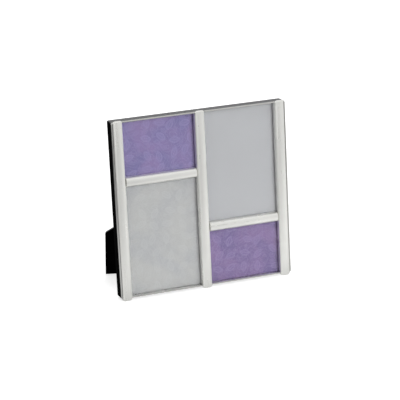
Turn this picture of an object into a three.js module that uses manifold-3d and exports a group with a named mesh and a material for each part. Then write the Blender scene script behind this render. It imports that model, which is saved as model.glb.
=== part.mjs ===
// Four-photo table frame: silver bars over glass, black velvet casing, easel leg at the back.
// Millimetres, +Z up. The frame is drawn upright, x across, y towards the back, z up, with y = 0
// at the casing's back edge, and is then leaned back onto its easel leg.

import * as THREE from "three";
import { mergeVertices } from "three/addons/utils/BufferGeometryUtils.js";
import Module from "manifold-3d";

const wasm = await Module();
wasm.setup();

// Overall sizes of the body, without the ends of the bars
const FRAME_WIDTH = 203;
const FRAME_HEIGHT = 199;
const LEAN = THREE.MathUtils.degToRad(7.6);
const GAP = 0.3;

// Casing: a velvet-covered pressing with four lugs that the turn buttons catch under
const CASING_DEPTH = 12.6;
const CASING_WALL = 0.7;
const CASING_CORNER = 1.8;
const LUG_WIDTH = 14;
const LUG_REACH = 4.3;
const LUG_THICKNESS = 0.8;
const LUG_CLEARANCE = 0.6;

// Rim: a lip round the front with a skirt that the glass seats on
const RIM_LIP = 1.5;
const RIM_THICKNESS = 1.2;
const RIM_CORNER = 2.2;
const SKIRT_WALL = 0.5;

// Pane, cards and panel, from front to back
const GLASS_THICKNESS = 2;
const CARD_LAP = 3.125;
const CARD_THICKNESS = 0.4;
const CARD_SPACING = 1;
const PACKING_THICKNESS = 1.0;
const PANEL_THICKNESS = 2.0;

// Bars: pressed channels with a crowned front and domed ends; the lower ends lap under the rim as feet
const BAR_WIDTH = 11.7;
const BAR_DROP = 2.8;
const BAR_RISE = 1.3;
const BAR_PROUD = 1.7;
const BAR_END_LAP = 1.1;
const BAR_WALL = 1.2;
const BAR_SHOULDER = 2.4;
const BAR_CROWN = 0.7;
const BAR_INSET = 1.3;
const BAR_CORNER = 2.8;
const BAR_END_ROUND = 2.2;
const CROSSBAR_WIDTH = 10.8;
const CROSSBAR_CREST_DROP = 0.3;
const CROSSBAR_CENTRE = 69.5;
const CROSSBAR_CORNER = 3.4;
const CROSSBAR_END_ROUND = 3;
const SPIGOT_RADIUS = 1.5;
const SPIGOT_LENGTH = 2.6;

// Turn buttons: double-ended, each on a screw in the back panel
const BUTTON_LENGTH = 17;
const BUTTON_WIDTH = 7;
const BUTTON_WAIST = 5;
const BUTTON_THICKNESS = 0.8;
const BUTTON_TIP_CLEARANCE = 1.8;
const SCREW_RADIUS = 1.2;
const SCREW_HEAD_RADIUS = 2.6;
const SCREW_HEAD_HEIGHT = 1.3;
const SCREW_SLOT_WIDTH = 0.7;
const SCREW_SLOT_DEPTH = 0.6;
const SCREW_SLOT_TURN = 30;

// Easel leg: a diagonal strut with a square corner, so that the frame stands either way up
const LEG_REACH = 168;
const LEG_FOOT_EDGE = 54.7;
const LEG_HINGE_WIDTH = 22;
const LEG_THICKNESS = 3;
const LEG_CORNER = 2;
const LEG_POINT = 0.8;
const HINGE_SETBACK = 4;

// Hinge: two leaves, three knuckles, a pin and four rivets
const HINGE_AXIS_DEPTH = 0.5;
const KNUCKLE_RADIUS = 2;
const KNUCKLE_SPAN = 20;
const KNUCKLE_MIDDLE = 7.6;
const KNUCKLE_SPACING = 0.4;
const PIN_RADIUS = 0.9;
const PIN_OVERHANG = 0.8;
const LEAF_LENGTH = 16;
const LEAF_THICKNESS = 0.8;
const LEAF_CORNER = 2;
const HEEL_LENGTH = 6;
const RIVET_OFFSET = 6;
const RIVET_STATION = 10;
const RIVET_RADIUS = 1.0;
const RIVET_HEAD_RADIUS = 2.2;
const RIVET_HEAD_HEIGHT = 0.9;

// Smoothness of round stretches
const ARC_STEPS = 5;
const ROUND_SIDES = 20;

// Depths of the layers, measured as y, with the back edge of the casing at 0
const casingFront = -CASING_DEPTH;
const rimBack = casingFront - GAP;
const rimFront = rimBack - RIM_THICKNESS;
const buttonBack = -LUG_THICKNESS - LUG_CLEARANCE;
const panelBack = buttonBack - BUTTON_THICKNESS - GAP;
const panelFront = panelBack - PANEL_THICKNESS;
const packingBack = panelFront - GAP;
const cardBack = packingBack - PACKING_THICKNESS - GAP;
const glassBack = cardBack - CARD_THICKNESS - GAP;
const glassFront = glassBack - GLASS_THICKNESS;
const barBase = glassFront - GAP;
const barOverRim = rimFront - GAP;
const crest = rimFront - BAR_PROUD;
const barEndBack = casingFront + BAR_END_LAP;
const spigotDepth = (barBase + crest + BAR_WALL + BAR_CROWN) / 2;

// Places across the frame
const halfWidth = FRAME_WIDTH / 2;
const barLength = FRAME_HEIGHT + BAR_DROP + BAR_RISE;
const outerBarX = halfWidth - BAR_INSET - BAR_WIDTH / 2;
const crossbarLow = CROSSBAR_CENTRE - BAR_DROP;
const crossbarHigh = barLength - CROSSBAR_CENTRE - BAR_DROP;
const windowCentreX = outerBarX / 2;
const windowWidth = outerBarX - BAR_WIDTH;
const crossbarLength = windowWidth - 2 * GAP;
const cardWidth = windowWidth + 2 * CARD_LAP;

// The leg opens until its lower edge lies flat on the table that the bars stand on
const DIAGONAL = Math.SQRT1_2;
const opening = 2 * Math.atan(Math.tan(LEAN) / DIAGONAL);
const legFront = GAP - HINGE_AXIS_DEPTH;
const legBack = legFront + LEG_THICKNESS;
const edgeRise = DIAGONAL * Math.sin(opening) * Math.cos(LEAN) - Math.cos(opening) * Math.sin(LEAN);
const barStand = BAR_DROP * Math.cos(LEAN) + barEndBack * Math.sin(LEAN);
const legInset = (HINGE_AXIS_DEPTH * Math.sin(LEAN) - legFront * edgeRise - barStand) / Math.cos(LEAN);
const hingeX = -halfWidth + legInset + LEG_REACH * DIAGONAL;
const hingeZ = legInset + LEG_REACH * DIAGONAL;

// Finishes
const satinSilver = { color: 0xd3d3cd, roughness: 0.35, metalness: 1.0 };
const polishedSilver = { color: 0xb9bab8, roughness: 0.2, metalness: 1.0 };
const blackVelvet = { color: 0x0b0b0c, roughness: 0.95, metalness: 0.0 };
const clearGlass = { color: 0xe8efee, roughness: 0.05, metalness: 0.0 };
const lilacCard = { color: 0x8a80ab, roughness: 0.8, metalness: 0.0 };
const greyCard = { color: 0xb9babc, roughness: 0.7, metalness: 0.0 };
const packingBoard = { color: 0x9a9184, roughness: 0.95, metalness: 0.0 };
const blackSteel = { color: 0x26262a, roughness: 0.45, metalness: 0.8 };
const brightSteel = { color: 0xa6a6a4, roughness: 0.35, metalness: 1.0 };

const frame = new THREE.Group();
const hinge = new THREE.Group();
const leg = new THREE.Group();

/** A closed three.js geometry as a solid for joining and cutting. */
function solidOf(geometry) {
  geometry.deleteAttribute("normal");
  geometry.deleteAttribute("uv");
  const merged = mergeVertices(geometry, 1e-4);
  const vertProperties = new Float32Array(merged.attributes.position.array);
  const triVerts = new Uint32Array(merged.index.array);
  return new wasm.Manifold(new wasm.Mesh({ numProp: 3, vertProperties, triVerts }));
}

/** Adds a solid to a group as a named mesh with its own finish. */
function addPiece(group, name, solid, finish) {
  const { vertProperties, triVerts } = solid.getMesh();
  const geometry = new THREE.BufferGeometry();
  geometry.setAttribute("position", new THREE.BufferAttribute(vertProperties, 3));
  geometry.setIndex(new THREE.BufferAttribute(triVerts, 1));
  geometry.computeVertexNormals();
  const mesh = new THREE.Mesh(geometry, new THREE.MeshStandardMaterial(finish));
  mesh.name = name;
  group.add(mesh);
}

/** A closed outline through points, each corner rounded by its own radius. */
function outline(points, radii) {
  const corners = points.map(([x, y]) => new THREE.Vector2(x, y));
  const shape = new THREE.Shape();
  corners.forEach((corner, i) => {
    const before = corners[(i + corners.length - 1) % corners.length];
    const after = corners[(i + 1) % corners.length];
    const toBefore = before.clone().sub(corner).normalize();
    const toAfter = after.clone().sub(corner).normalize();
    const half = Math.acos(toBefore.dot(toAfter)) / 2;
    const setback = radii[i] / Math.tan(half);
    const enter = corner.clone().addScaledVector(toBefore, setback);
    const leave = corner.clone().addScaledVector(toAfter, setback);
    if (i === 0) {
      shape.moveTo(enter.x, enter.y);
    } else {
      shape.lineTo(enter.x, enter.y);
    }
    if (radii[i] > 0) {
      const bisector = toBefore.clone().add(toAfter).normalize();
      const centre = corner.clone().addScaledVector(bisector, radii[i] / Math.sin(half));
      const clockwise = toBefore.cross(toAfter) > 0;
      const start = enter.sub(centre).angle();
      const end = leave.clone().sub(centre).angle();
      shape.absarc(centre.x, centre.y, radii[i], start, end, clockwise);
    }
    shape.lineTo(leave.x, leave.y);
  });
  shape.closePath();
  return shape;
}

/** A rectangle with corners rounded in the order low left, low right, high right, high left. */
function rectangle(x0, y0, x1, y1, radii = [0, 0, 0, 0]) {
  return outline([[x0, y0], [x1, y0], [x1, y1], [x0, y1]], radii);
}

/** The frame's outline drawn in by a margin, each corner with one radius. */
function frameOutline(margin, radius) {
  const edge = halfWidth - margin;
  return rectangle(-edge, margin, edge, FRAME_HEIGHT - margin, [radius, radius, radius, radius]);
}

/** An outline in the frame's face, x across and z up, given depth from one y to another. */
function plate(shape, front, back) {
  const options = { depth: back - front, bevelEnabled: false, curveSegments: ARC_STEPS };
  return solidOf(new THREE.ExtrudeGeometry(shape, options).rotateX(Math.PI / 2).translate(0, back, 0));
}

/** An outline of x and y carried up along z. */
function upright(shape, bottom, top) {
  const options = { depth: top - bottom, bevelEnabled: false, curveSegments: ARC_STEPS };
  return solidOf(new THREE.ExtrudeGeometry(shape, options).translate(0, 0, bottom));
}

/** A round rod along y, centred on a place in the frame's face. */
function rodAlongY(x, z, radius, front, back) {
  const length = back - front;
  const rod = new THREE.CylinderGeometry(radius, radius, length, ROUND_SIDES);
  return solidOf(rod.translate(x, (front + back) / 2, z));
}

/** A round rod along x, centred on a depth and a height. */
function rodAlongX(x0, x1, y, z, radius) {
  const rod = new THREE.CylinderGeometry(radius, radius, x1 - x0, ROUND_SIDES).rotateZ(Math.PI / 2);
  return solidOf(rod.translate((x0 + x1) / 2, y, z));
}

/** A plain block between two corners. */
function block(x0, y0, z0, x1, y1, z1) {
  const box = new THREE.BoxGeometry(x1 - x0, y1 - y0, z1 - z0);
  return solidOf(box.translate((x0 + x1) / 2, (y0 + y1) / 2, (z0 + z1) / 2));
}

/** The section of a bar: square flanks, rounded shoulders and a low crown, crest towards -y. */
function barSection(width, base, top, shoulder, crown) {
  const half = width / 2;
  const brow = top + crown;
  const section = new THREE.Shape();
  section.moveTo(-half, base);
  section.lineTo(-half, brow + shoulder);
  section.absarc(-half + shoulder, brow + shoulder, shoulder, Math.PI, 1.5 * Math.PI, false);
  section.quadraticCurveTo(0, top - crown, half - shoulder, brow);
  section.absarc(half - shoulder, brow + shoulder, shoulder, 1.5 * Math.PI, 2 * Math.PI, false);
  section.lineTo(half, base);
  section.closePath();
  return section;
}

/** A domed bar along z about x = 0: its section, its rounded ends and its face outline in one. */
function bar({ width, length, base, top, endRound, corners }) {
  const half = width / 2;
  const body = upright(barSection(width, base, top, BAR_SHOULDER, BAR_CROWN), 0, length);
  const options = { depth: width, bevelEnabled: false, curveSegments: ARC_STEPS };
  const ends = rectangle(0, base, length, top, [0, 0, endRound, endRound]);
  const side = new THREE.ExtrudeGeometry(ends, options);
  const domed = solidOf(side.rotateY(-Math.PI / 2).translate(half, 0, 0));
  const face = plate(rectangle(-half, 0, half, length, corners), top, base);
  const inner = width - 2 * BAR_WALL;
  const stop = endRound + 1.5 * BAR_WALL;
  const channel = barSection(inner, base + GAP, top + BAR_WALL, BAR_SHOULDER - BAR_WALL / 2, BAR_CROWN);
  const hollow = upright(channel, stop, length - stop);
  return body.intersect(domed).intersect(face).subtract(hollow);
}

/** The room that every upright bar leaves over the rim's lip and skirt, and behind its own ends. */
function rimClearance() {
  const overLip = plate(frameOutline(-GAP, RIM_CORNER), barOverRim, 0);
  const feet = rectangle(-halfWidth, -BAR_DROP - GAP, halfWidth, 0);
  const heads = rectangle(-halfWidth, FRAME_HEIGHT - RIM_LIP, halfWidth, FRAME_HEIGHT + BAR_RISE + GAP);
  const behindEnds = plate(feet, barEndBack, 0).add(plate(heads, barOverRim, 0));
  const opening = plate(frameOutline(RIM_LIP + GAP, BAR_CORNER), barOverRim - GAP, GAP);
  return overLip.add(behindEnds).subtract(opening);
}

/** Casing: an open ring with a lug at the middle of each side. */
function buildCasing() {
  const innerCorner = CASING_CORNER - CASING_WALL;
  const ring = plate(frameOutline(0, CASING_CORNER), casingFront, 0)
    .subtract(plate(frameOutline(CASING_WALL, innerCorner), casingFront - GAP, GAP));
  const half = LUG_WIDTH / 2;
  const reach = CASING_WALL + LUG_REACH;
  const middle = FRAME_HEIGHT / 2;
  const lugs = [
    rectangle(-half, FRAME_HEIGHT - reach, half, FRAME_HEIGHT - CASING_WALL / 2),
    rectangle(-half, CASING_WALL / 2, half, reach),
    rectangle(-halfWidth + CASING_WALL / 2, middle - half, -halfWidth + reach, middle + half),
    rectangle(halfWidth - reach, middle - half, halfWidth - CASING_WALL / 2, middle + half),
  ];
  const solid = lugs.reduce((sum, lug) => sum.add(plate(lug, -LUG_THICKNESS, 0)), ring);
  addPiece(frame, "casing", solid, blackVelvet);
}

/** Rim: lip over the casing's front edge, and the skirt inside it. */
function buildRim() {
  const skirtOuter = RIM_LIP - SKIRT_WALL;
  const opening = plate(frameOutline(RIM_LIP, RIM_CORNER - RIM_LIP), rimFront - GAP, 0);
  const lip = plate(frameOutline(0, RIM_CORNER), rimFront, rimBack);
  const skirt = plate(frameOutline(skirtOuter, CASING_CORNER - CASING_WALL), rimFront + GAP, barBase);
  addPiece(frame, "rim_frame", lip.add(skirt).subtract(opening), polishedSilver);
}

/** The three uprights, with holes for the crossbars' spigots. */
function buildBars() {
  const hole = SPIGOT_RADIUS + GAP;
  const clearance = rimClearance();
  const half = BAR_WIDTH / 2;
  const shape = {
    width: BAR_WIDTH,
    length: barLength,
    base: barBase,
    top: crest,
    endRound: BAR_END_ROUND,
    corners: [BAR_CORNER, BAR_CORNER, BAR_CORNER, BAR_CORNER],
  };
  const places = [
    { name: "left_bar", x: -outerBarX, holes: [[half, crossbarHigh]] },
    { name: "centre_bar", x: 0, holes: [[-half, crossbarHigh], [half, crossbarLow]] },
    { name: "right_bar", x: outerBarX, holes: [[-half, crossbarLow]] },
  ];
  for (const { name, x, holes } of places) {
    let solid = bar(shape).translate(x, 0, -BAR_DROP).subtract(clearance);
    for (const [flank, height] of holes) {
      const at = x + flank;
      solid = solid.subtract(rodAlongX(at - SPIGOT_LENGTH, at + SPIGOT_LENGTH, spigotDepth, height, hole));
    }
    addPiece(frame, name, solid, satinSilver);
  }
}

/** The two crossbars, each with a spigot at both ends. */
function buildCrossbars() {
  const corner = CROSSBAR_CORNER;
  const shape = {
    width: CROSSBAR_WIDTH,
    length: crossbarLength,
    base: barBase,
    top: crest + CROSSBAR_CREST_DROP,
    endRound: CROSSBAR_END_ROUND,
    corners: [corner, corner, corner, corner],
  };
  const places = [
    { name: "upper_crossbar", x: -windowCentreX, z: crossbarHigh },
    { name: "lower_crossbar", x: windowCentreX, z: crossbarLow },
  ];
  const half = crossbarLength / 2;
  const root = CROSSBAR_END_ROUND + BAR_WALL;
  for (const { name, x, z } of places) {
    const lying = bar(shape).translate(0, 0, -half).rotate([0, 90, 0]).translate(x, 0, z);
    const left = rodAlongX(x - half - SPIGOT_LENGTH, x - half + root, spigotDepth, z, SPIGOT_RADIUS);
    const right = rodAlongX(x + half - root, x + half + SPIGOT_LENGTH, spigotDepth, z, SPIGOT_RADIUS);
    addPiece(frame, name, lying.add(left).add(right), satinSilver);
  }
}

/** Pane, the four cards behind it and the board that packs them. */
function buildInfill() {
  const margin = CASING_WALL + GAP;
  const inside = frameOutline(margin, CASING_CORNER - margin);
  addPiece(frame, "glass_pane", plate(inside, glassFront, glassBack), clearGlass);
  const low = margin + GAP;
  const high = FRAME_HEIGHT - low;
  const spacing = CARD_SPACING / 2;
  const cards = [
    { name: "card_upper_left", x: -windowCentreX, z0: crossbarHigh + spacing, z1: high, finish: lilacCard },
    { name: "card_lower_left", x: -windowCentreX, z0: low, z1: crossbarHigh - spacing, finish: greyCard },
    { name: "card_upper_right", x: windowCentreX, z0: crossbarLow + spacing, z1: high, finish: greyCard },
    { name: "card_lower_right", x: windowCentreX, z0: low, z1: crossbarLow - spacing, finish: lilacCard },
  ];
  for (const { name, x, z0, z1, finish } of cards) {
    const sheet = rectangle(x - cardWidth / 2, z0, x + cardWidth / 2, z1);
    addPiece(frame, name, plate(sheet, cardBack - CARD_THICKNESS, cardBack), finish);
  }
  const packingFront = packingBack - PACKING_THICKNESS;
  const board = plate(inside, packingFront, packingBack).subtract(lugNotches(packingFront, packingBack));
  addPiece(frame, "packing_card", board, packingBoard);
}

/** Cut-outs that let a board pass the casing's lugs. */
function lugNotches(front, back) {
  const half = LUG_WIDTH / 2 + GAP;
  const reach = CASING_WALL + LUG_REACH + GAP;
  const middle = FRAME_HEIGHT / 2;
  const f = front - GAP;
  const b = back + GAP;
  return plate(rectangle(-half, -GAP, half, reach), f, b)
    .add(plate(rectangle(-half, FRAME_HEIGHT - reach, half, FRAME_HEIGHT + GAP), f, b))
    .add(plate(rectangle(-halfWidth - GAP, middle - half, -halfWidth + reach, middle + half), f, b))
    .add(plate(rectangle(halfWidth - reach, middle - half, halfWidth + GAP, middle + half), f, b));
}

/** Where the four turn buttons stand, and which way each one points. */
function buttonPlaces() {
  const edge = CASING_WALL + BUTTON_TIP_CLEARANCE + BUTTON_LENGTH / 2;
  const middle = FRAME_HEIGHT / 2;
  return [
    { side: "top", x: 0, z: FRAME_HEIGHT - edge, turn: 0 },
    { side: "bottom", x: 0, z: edge, turn: 0 },
    { side: "left", x: -halfWidth + edge, z: middle, turn: 90 },
    { side: "right", x: halfWidth - edge, z: middle, turn: 90 },
  ];
}

/** A place on the hinge, across and along it, in the frame's own x and z. */
function hingePlace(across, along) {
  return [hingeX + (across + along) * DIAGONAL, hingeZ + (along - across) * DIAGONAL];
}

/** Back panel with its notches, screw holes and rivet holes. */
function buildPanel() {
  const margin = CASING_WALL + GAP;
  let solid = plate(frameOutline(margin, CASING_CORNER - margin), panelFront, panelBack)
    .subtract(lugNotches(panelFront, panelBack));
  for (const { x, z } of buttonPlaces()) {
    solid = solid.subtract(rodAlongY(x, z, SCREW_RADIUS + GAP, panelFront - GAP, panelBack + GAP));
  }
  for (const across of [-RIVET_OFFSET, RIVET_OFFSET]) {
    const [x, z] = hingePlace(across, RIVET_STATION);
    solid = solid.subtract(rodAlongY(x, z, RIVET_RADIUS + GAP, panelFront - GAP, panelBack + GAP));
  }
  addPiece(frame, "back_panel", solid, blackVelvet);
}

/** A turn button standing on end about the origin: two rounded wings and a narrow waist. */
function buttonOutline() {
  const half = BUTTON_LENGTH / 2;
  const wing = BUTTON_WIDTH / 2;
  const waist = BUTTON_WAIST / 2;
  const neck = BUTTON_LENGTH / 6;
  const shape = new THREE.Shape();
  shape.moveTo(wing, neck);
  shape.absarc(0, half - wing, wing, 0, Math.PI, false);
  shape.lineTo(-wing, neck);
  shape.quadraticCurveTo(-waist, 0, -wing, -neck);
  shape.absarc(0, wing - half, wing, Math.PI, 2 * Math.PI, false);
  shape.lineTo(wing, -neck);
  shape.quadraticCurveTo(waist, 0, wing, neck);
  shape.closePath();
  return shape;
}

/** Slotted pan-head screw about the y axis, its head behind the button. */
function buttonScrew() {
  const head = buttonBack + GAP;
  const tip = panelFront + GAP;
  const top = head + SCREW_HEAD_HEIGHT;
  const profile = [
    new THREE.Vector2(0, tip),
    new THREE.Vector2(SCREW_RADIUS, tip + SCREW_RADIUS / 2),
    new THREE.Vector2(SCREW_RADIUS, head),
    new THREE.Vector2(SCREW_HEAD_RADIUS, head),
    new THREE.Vector2(SCREW_HEAD_RADIUS, head + SCREW_HEAD_HEIGHT / 2),
    new THREE.Vector2(SCREW_HEAD_RADIUS * 0.7, top),
    new THREE.Vector2(0, top),
  ];
  const solid = solidOf(new THREE.LatheGeometry(profile, ROUND_SIDES));
  const slot = SCREW_SLOT_WIDTH / 2;
  const reach = SCREW_HEAD_RADIUS + GAP;
  return solid.subtract(block(-reach, top - SCREW_SLOT_DEPTH, -slot, reach, top + GAP, slot));
}

/** The four turn buttons and their screws. */
function buildButtons() {
  for (const { side, x, z, turn } of buttonPlaces()) {
    const hole = rodAlongY(0, 0, SCREW_RADIUS + GAP, panelBack, buttonBack + GAP);
    const button = plate(buttonOutline(), buttonBack - BUTTON_THICKNESS, buttonBack).subtract(hole);
    const screw = buttonScrew().rotate([0, turn + SCREW_SLOT_TURN, 0]);
    addPiece(frame, `turn_button_${side}`, button.rotate([0, turn, 0]).translate(x, 0, z), brightSteel);
    addPiece(frame, `button_screw_${side}`, screw.translate(x, 0, z), brightSteel);
  }
}

/** A hinge leaf about the axis at the origin, reaching along +z, with knuckles over the spans given. */
function hingeLeaf(front, spans, cutSpans) {
  const half = KNUCKLE_SPAN / 2;
  const clear = KNUCKLE_RADIUS + 2 * GAP;
  const round = LEAF_CORNER;
  const back = front + LEAF_THICKNESS;
  let leaf = plate(rectangle(-half, 0, half, LEAF_LENGTH, [0, 0, round, round]), front, back);
  for (const [x0, x1] of cutSpans) {
    leaf = leaf.subtract(block(x0, front - GAP, -clear, x1, KNUCKLE_RADIUS, clear));
  }
  for (const [x0, x1] of spans) {
    leaf = leaf.add(rodAlongX(x0, x1, 0, 0, KNUCKLE_RADIUS));
  }
  leaf = leaf.subtract(rodAlongX(-half - GAP, half + GAP, 0, 0, PIN_RADIUS + GAP));
  for (const across of [-RIVET_OFFSET, RIVET_OFFSET]) {
    leaf = leaf.subtract(rodAlongY(across, RIVET_STATION, RIVET_RADIUS + GAP, front - GAP, back + GAP));
  }
  return leaf;
}

/** A round-headed rivet about the y axis, with a second head where its tail is clinched. */
function rivet(front, back, clinched) {
  const rise = RIVET_HEAD_HEIGHT;
  const brow = RIVET_HEAD_RADIUS * 0.75;
  const shank = [[RIVET_RADIUS, front], [RIVET_RADIUS, back]];
  const head = [[RIVET_HEAD_RADIUS, back], [brow, back + rise * 0.7], [0, back + rise]];
  const clinch = [[0, front - rise], [brow, front - rise * 0.7], [RIVET_HEAD_RADIUS, front]];
  const tail = clinched ? clinch : [[0, front]];
  const profile = [...tail, ...shank, ...head].map(([radius, y]) => new THREE.Vector2(radius, y));
  return solidOf(new THREE.LatheGeometry(profile, ROUND_SIDES));
}

/** The hinge's fixed half, on the panel, with its rivets and pin. */
function buildFixedHinge() {
  const half = KNUCKLE_SPAN / 2;
  const middle = KNUCKLE_MIDDLE / 2;
  const outer = middle + KNUCKLE_SPACING;
  const leafFront = panelBack + GAP - HINGE_AXIS_DEPTH;
  const leafBack = leafFront + LEAF_THICKNESS;
  const sides = [[-half, -outer], [outer, half]];
  addPiece(hinge, "hinge_fixed_leaf", hingeLeaf(leafFront, sides, [[-outer, outer]]), blackSteel);
  const pinEnd = half + PIN_OVERHANG;
  addPiece(hinge, "hinge_pin", rodAlongX(-pinEnd, pinEnd, 0, 0, PIN_RADIUS), brightSteel);
  const tail = panelFront + GAP - HINGE_AXIS_DEPTH;
  [-RIVET_OFFSET, RIVET_OFFSET].forEach((across, i) => {
    const solid = rivet(tail, leafBack + GAP, false).translate(across, 0, RIVET_STATION);
    addPiece(hinge, `panel_rivet_${i + 1}`, solid, brightSteel);
  });
}

/** The hinge's moving half: leaf, heel that stops the opening, rivets and the leg itself. */
function buildLeg() {
  const half = KNUCKLE_SPAN / 2;
  const middle = KNUCKLE_MIDDLE / 2;
  const leafBack = legFront - GAP;
  const leafFront = leafBack - LEAF_THICKNESS;
  const knuckle = [[-middle, middle]];
  const cuts = [[-half - GAP, -middle], [middle, half + GAP]];
  const fixedBack = panelBack + GAP - HINGE_AXIS_DEPTH + LEAF_THICKNESS;
  const heelFront = fixedBack + GAP;
  const bore = rodAlongX(-middle - GAP, middle + GAP, 0, 0, PIN_RADIUS + GAP);
  const heel = block(-middle + GAP, heelFront, 0, middle - GAP, heelFront + LEAF_THICKNESS, HEEL_LENGTH);
  const turned = THREE.MathUtils.radToDeg(opening);
  const leaf = hingeLeaf(leafFront, knuckle, cuts).rotate([0, 180, 0]);
  addPiece(leg, "hinge_moving_leaf", leaf.add(heel.rotate([-turned, 0, 0])).subtract(bore), blackSteel);

  const foot = LEG_FOOT_EDGE * DIAGONAL;
  const shoulder = LEG_REACH - foot;
  const neck = LEG_HINGE_WIDTH / 2;
  const top = -HINGE_SETBACK;
  const points = [[0, -LEG_REACH], [foot, -shoulder], [neck, top], [-neck, top], [-foot, -shoulder]];
  const radii = [LEG_POINT, LEG_CORNER, LEAF_CORNER, LEAF_CORNER, LEG_CORNER];
  let board = plate(outline(points, radii), legFront, legBack);
  [-RIVET_OFFSET, RIVET_OFFSET].forEach((across, i) => {
    const hole = rodAlongY(across, -RIVET_STATION, RIVET_RADIUS + GAP, legFront - GAP, legBack + GAP);
    board = board.subtract(hole);
    const solid = rivet(leafFront - GAP, legBack + GAP, true).translate(across, 0, -RIVET_STATION);
    addPiece(leg, `leg_rivet_${i + 1}`, solid, brightSteel);
  });
  addPiece(leg, "easel_leg", board, blackVelvet);
}

buildCasing();
buildRim();
buildBars();
buildCrossbars();
buildInfill();
buildPanel();
buildButtons();
buildFixedHinge();
buildLeg();

// The leg turns on the hinge, the hinge lies across the frame's diagonal, and the frame leans back.
leg.rotation.x = opening;
hinge.add(leg);
hinge.rotation.y = Math.PI / 4;
hinge.position.set(hingeX, HINGE_AXIS_DEPTH, hingeZ);
frame.add(hinge);
frame.rotation.x = -LEAN;

// The origin lies on the table, under the middle of the standing frame.
const fourPhotoFrame = new THREE.Group();
fourPhotoFrame.add(frame);
const bounds = new THREE.Box3().setFromObject(fourPhotoFrame, true);
const middle = bounds.getCenter(new THREE.Vector3());
frame.position.set(-middle.x, -middle.y, -bounds.min.z);

export default fourPhotoFrame;
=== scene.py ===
"""Four-photo table frame: silver bars over glass, a black velvet casing and an easel leg.

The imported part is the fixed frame. The pane, the cards and the packing board keep their shapes and get
finishes; every other piece is modelled again with its roundings, upright and in millimetres, and is then
stood in its place.
"""

import logging
import math
from collections.abc import Callable, Iterator
from contextlib import contextmanager
from dataclasses import dataclass, field
from enum import Enum

import bmesh
import bpy
from mathutils import Euler, Matrix, Vector


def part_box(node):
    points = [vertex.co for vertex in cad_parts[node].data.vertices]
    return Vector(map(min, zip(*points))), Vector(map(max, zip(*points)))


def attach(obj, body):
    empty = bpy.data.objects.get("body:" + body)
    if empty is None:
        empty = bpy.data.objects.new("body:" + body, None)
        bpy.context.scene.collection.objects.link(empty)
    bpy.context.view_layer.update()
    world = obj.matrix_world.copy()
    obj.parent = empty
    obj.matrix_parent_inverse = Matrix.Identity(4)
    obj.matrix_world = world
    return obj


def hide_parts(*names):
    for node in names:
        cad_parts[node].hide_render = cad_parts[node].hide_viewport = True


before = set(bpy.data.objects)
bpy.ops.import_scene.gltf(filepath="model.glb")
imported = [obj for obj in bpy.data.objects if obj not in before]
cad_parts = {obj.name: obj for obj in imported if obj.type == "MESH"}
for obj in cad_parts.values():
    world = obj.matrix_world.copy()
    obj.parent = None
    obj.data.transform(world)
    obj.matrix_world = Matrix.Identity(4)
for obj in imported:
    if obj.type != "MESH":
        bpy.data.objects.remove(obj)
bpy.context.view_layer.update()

log = logging.getLogger("four_photo_frame")

MM = 0.001
Triple = tuple[float, float, float]
Span = tuple[float, float]
Step = tuple[float, float, float, float]
Pick = Callable[[Vector, Vector], bool]
Value = float | Triple | bpy.types.NodeSocket

LEFT, RIGHT = (-1, 0, 0), (1, 0, 0)
FRONT, BACK = (0, -1, 0), (0, 1, 0)
UP = (0, 0, 1)
ALONG = 0.99  # an edge's share of a direction, from which it runs along it
AWAY, FACING = 0.5, 0.8  # a face's share of a direction: up to where it looks away, from where along it
NEAR = 1e-3  # how near two places in a drawing count as one, in millimetres
AT_CORNER = 0.05  # how near an edge lies to the corner that it is picked by, in millimetres
DOUBLE = 1e-4  # how near two corners are merged, in millimetres
SLIVER = 0.003  # the longest edge that a cut leaves by chance, in millimetres
VECTOR, NUMBER = "NodeSocketVector", "NodeSocketFloat"
SPREAD = {"Vector": VECTOR, "Scale": NUMBER}


class Part(Enum):
    """The kinds of mesh element that can be selected in edit mode."""

    CORNERS = "VERT"
    EDGES = "EDGE"


class Join(Enum):
    """The ways in which one solid changes another."""

    CUT = "DIFFERENCE"
    WELD = "UNION"


class Body(Enum):
    """The bodies that pieces ride on."""

    FRAME = "frame"
    LEG = "easel_leg"
    BUTTON_TOP = "turn_button_top"
    BUTTON_BOTTOM = "turn_button_bottom"
    BUTTON_LEFT = "turn_button_left"
    BUTTON_RIGHT = "turn_button_right"


class Slot(Enum):
    """The record's material slots."""

    SATIN_SILVER = "satin_silver"
    POLISHED_SILVER = "polished_silver"
    BLACK_VELVET = "black_velvet"
    BLACK_STEEL = "black_steel"
    BRIGHT_STEEL = "bright_steel"


class Grain(Enum):
    """The way that brush marks run on a silver piece, as a stretch of the noise along x, y and z."""

    UPRIGHT = (3200.0, 3200.0, 55.0)
    ACROSS = (55.0, 3200.0, 3200.0)
    NONE = (700.0, 700.0, 700.0)


@dataclass(frozen=True)
class Stand:
    """How the upright drawing stands on the table, and where its easel hinge lies."""

    lean: float = math.radians(7.6)
    shift: Triple = (0.0, -24.47397, 1.254455)
    hinge: Triple = (16.121767, 0.5, 117.62171)
    diagonal: float = math.radians(45)

    @property
    def opening(self) -> float:
        """The angle at which the leg stands open."""
        return 2 * math.atan(math.tan(self.lean) / math.cos(self.diagonal))

    def frame(self) -> Matrix:
        """The move from the upright drawing to the standing frame, in metres."""
        turned = Matrix.Translation(self.shift) @ Matrix.Rotation(-self.lean, 4, "X")
        return Matrix.Scale(MM, 4) @ turned

    def fixed_hinge(self) -> Matrix:
        """The move for pieces drawn about the hinge and fixed to the panel."""
        return self.frame() @ Matrix.Translation(self.hinge) @ Matrix.Rotation(self.diagonal, 4, "Y")

    def leg(self) -> Matrix:
        """The move for pieces drawn about the hinge that open with the leg."""
        return self.fixed_hinge() @ Matrix.Rotation(self.opening, 4, "X")


STAND = Stand()


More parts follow.
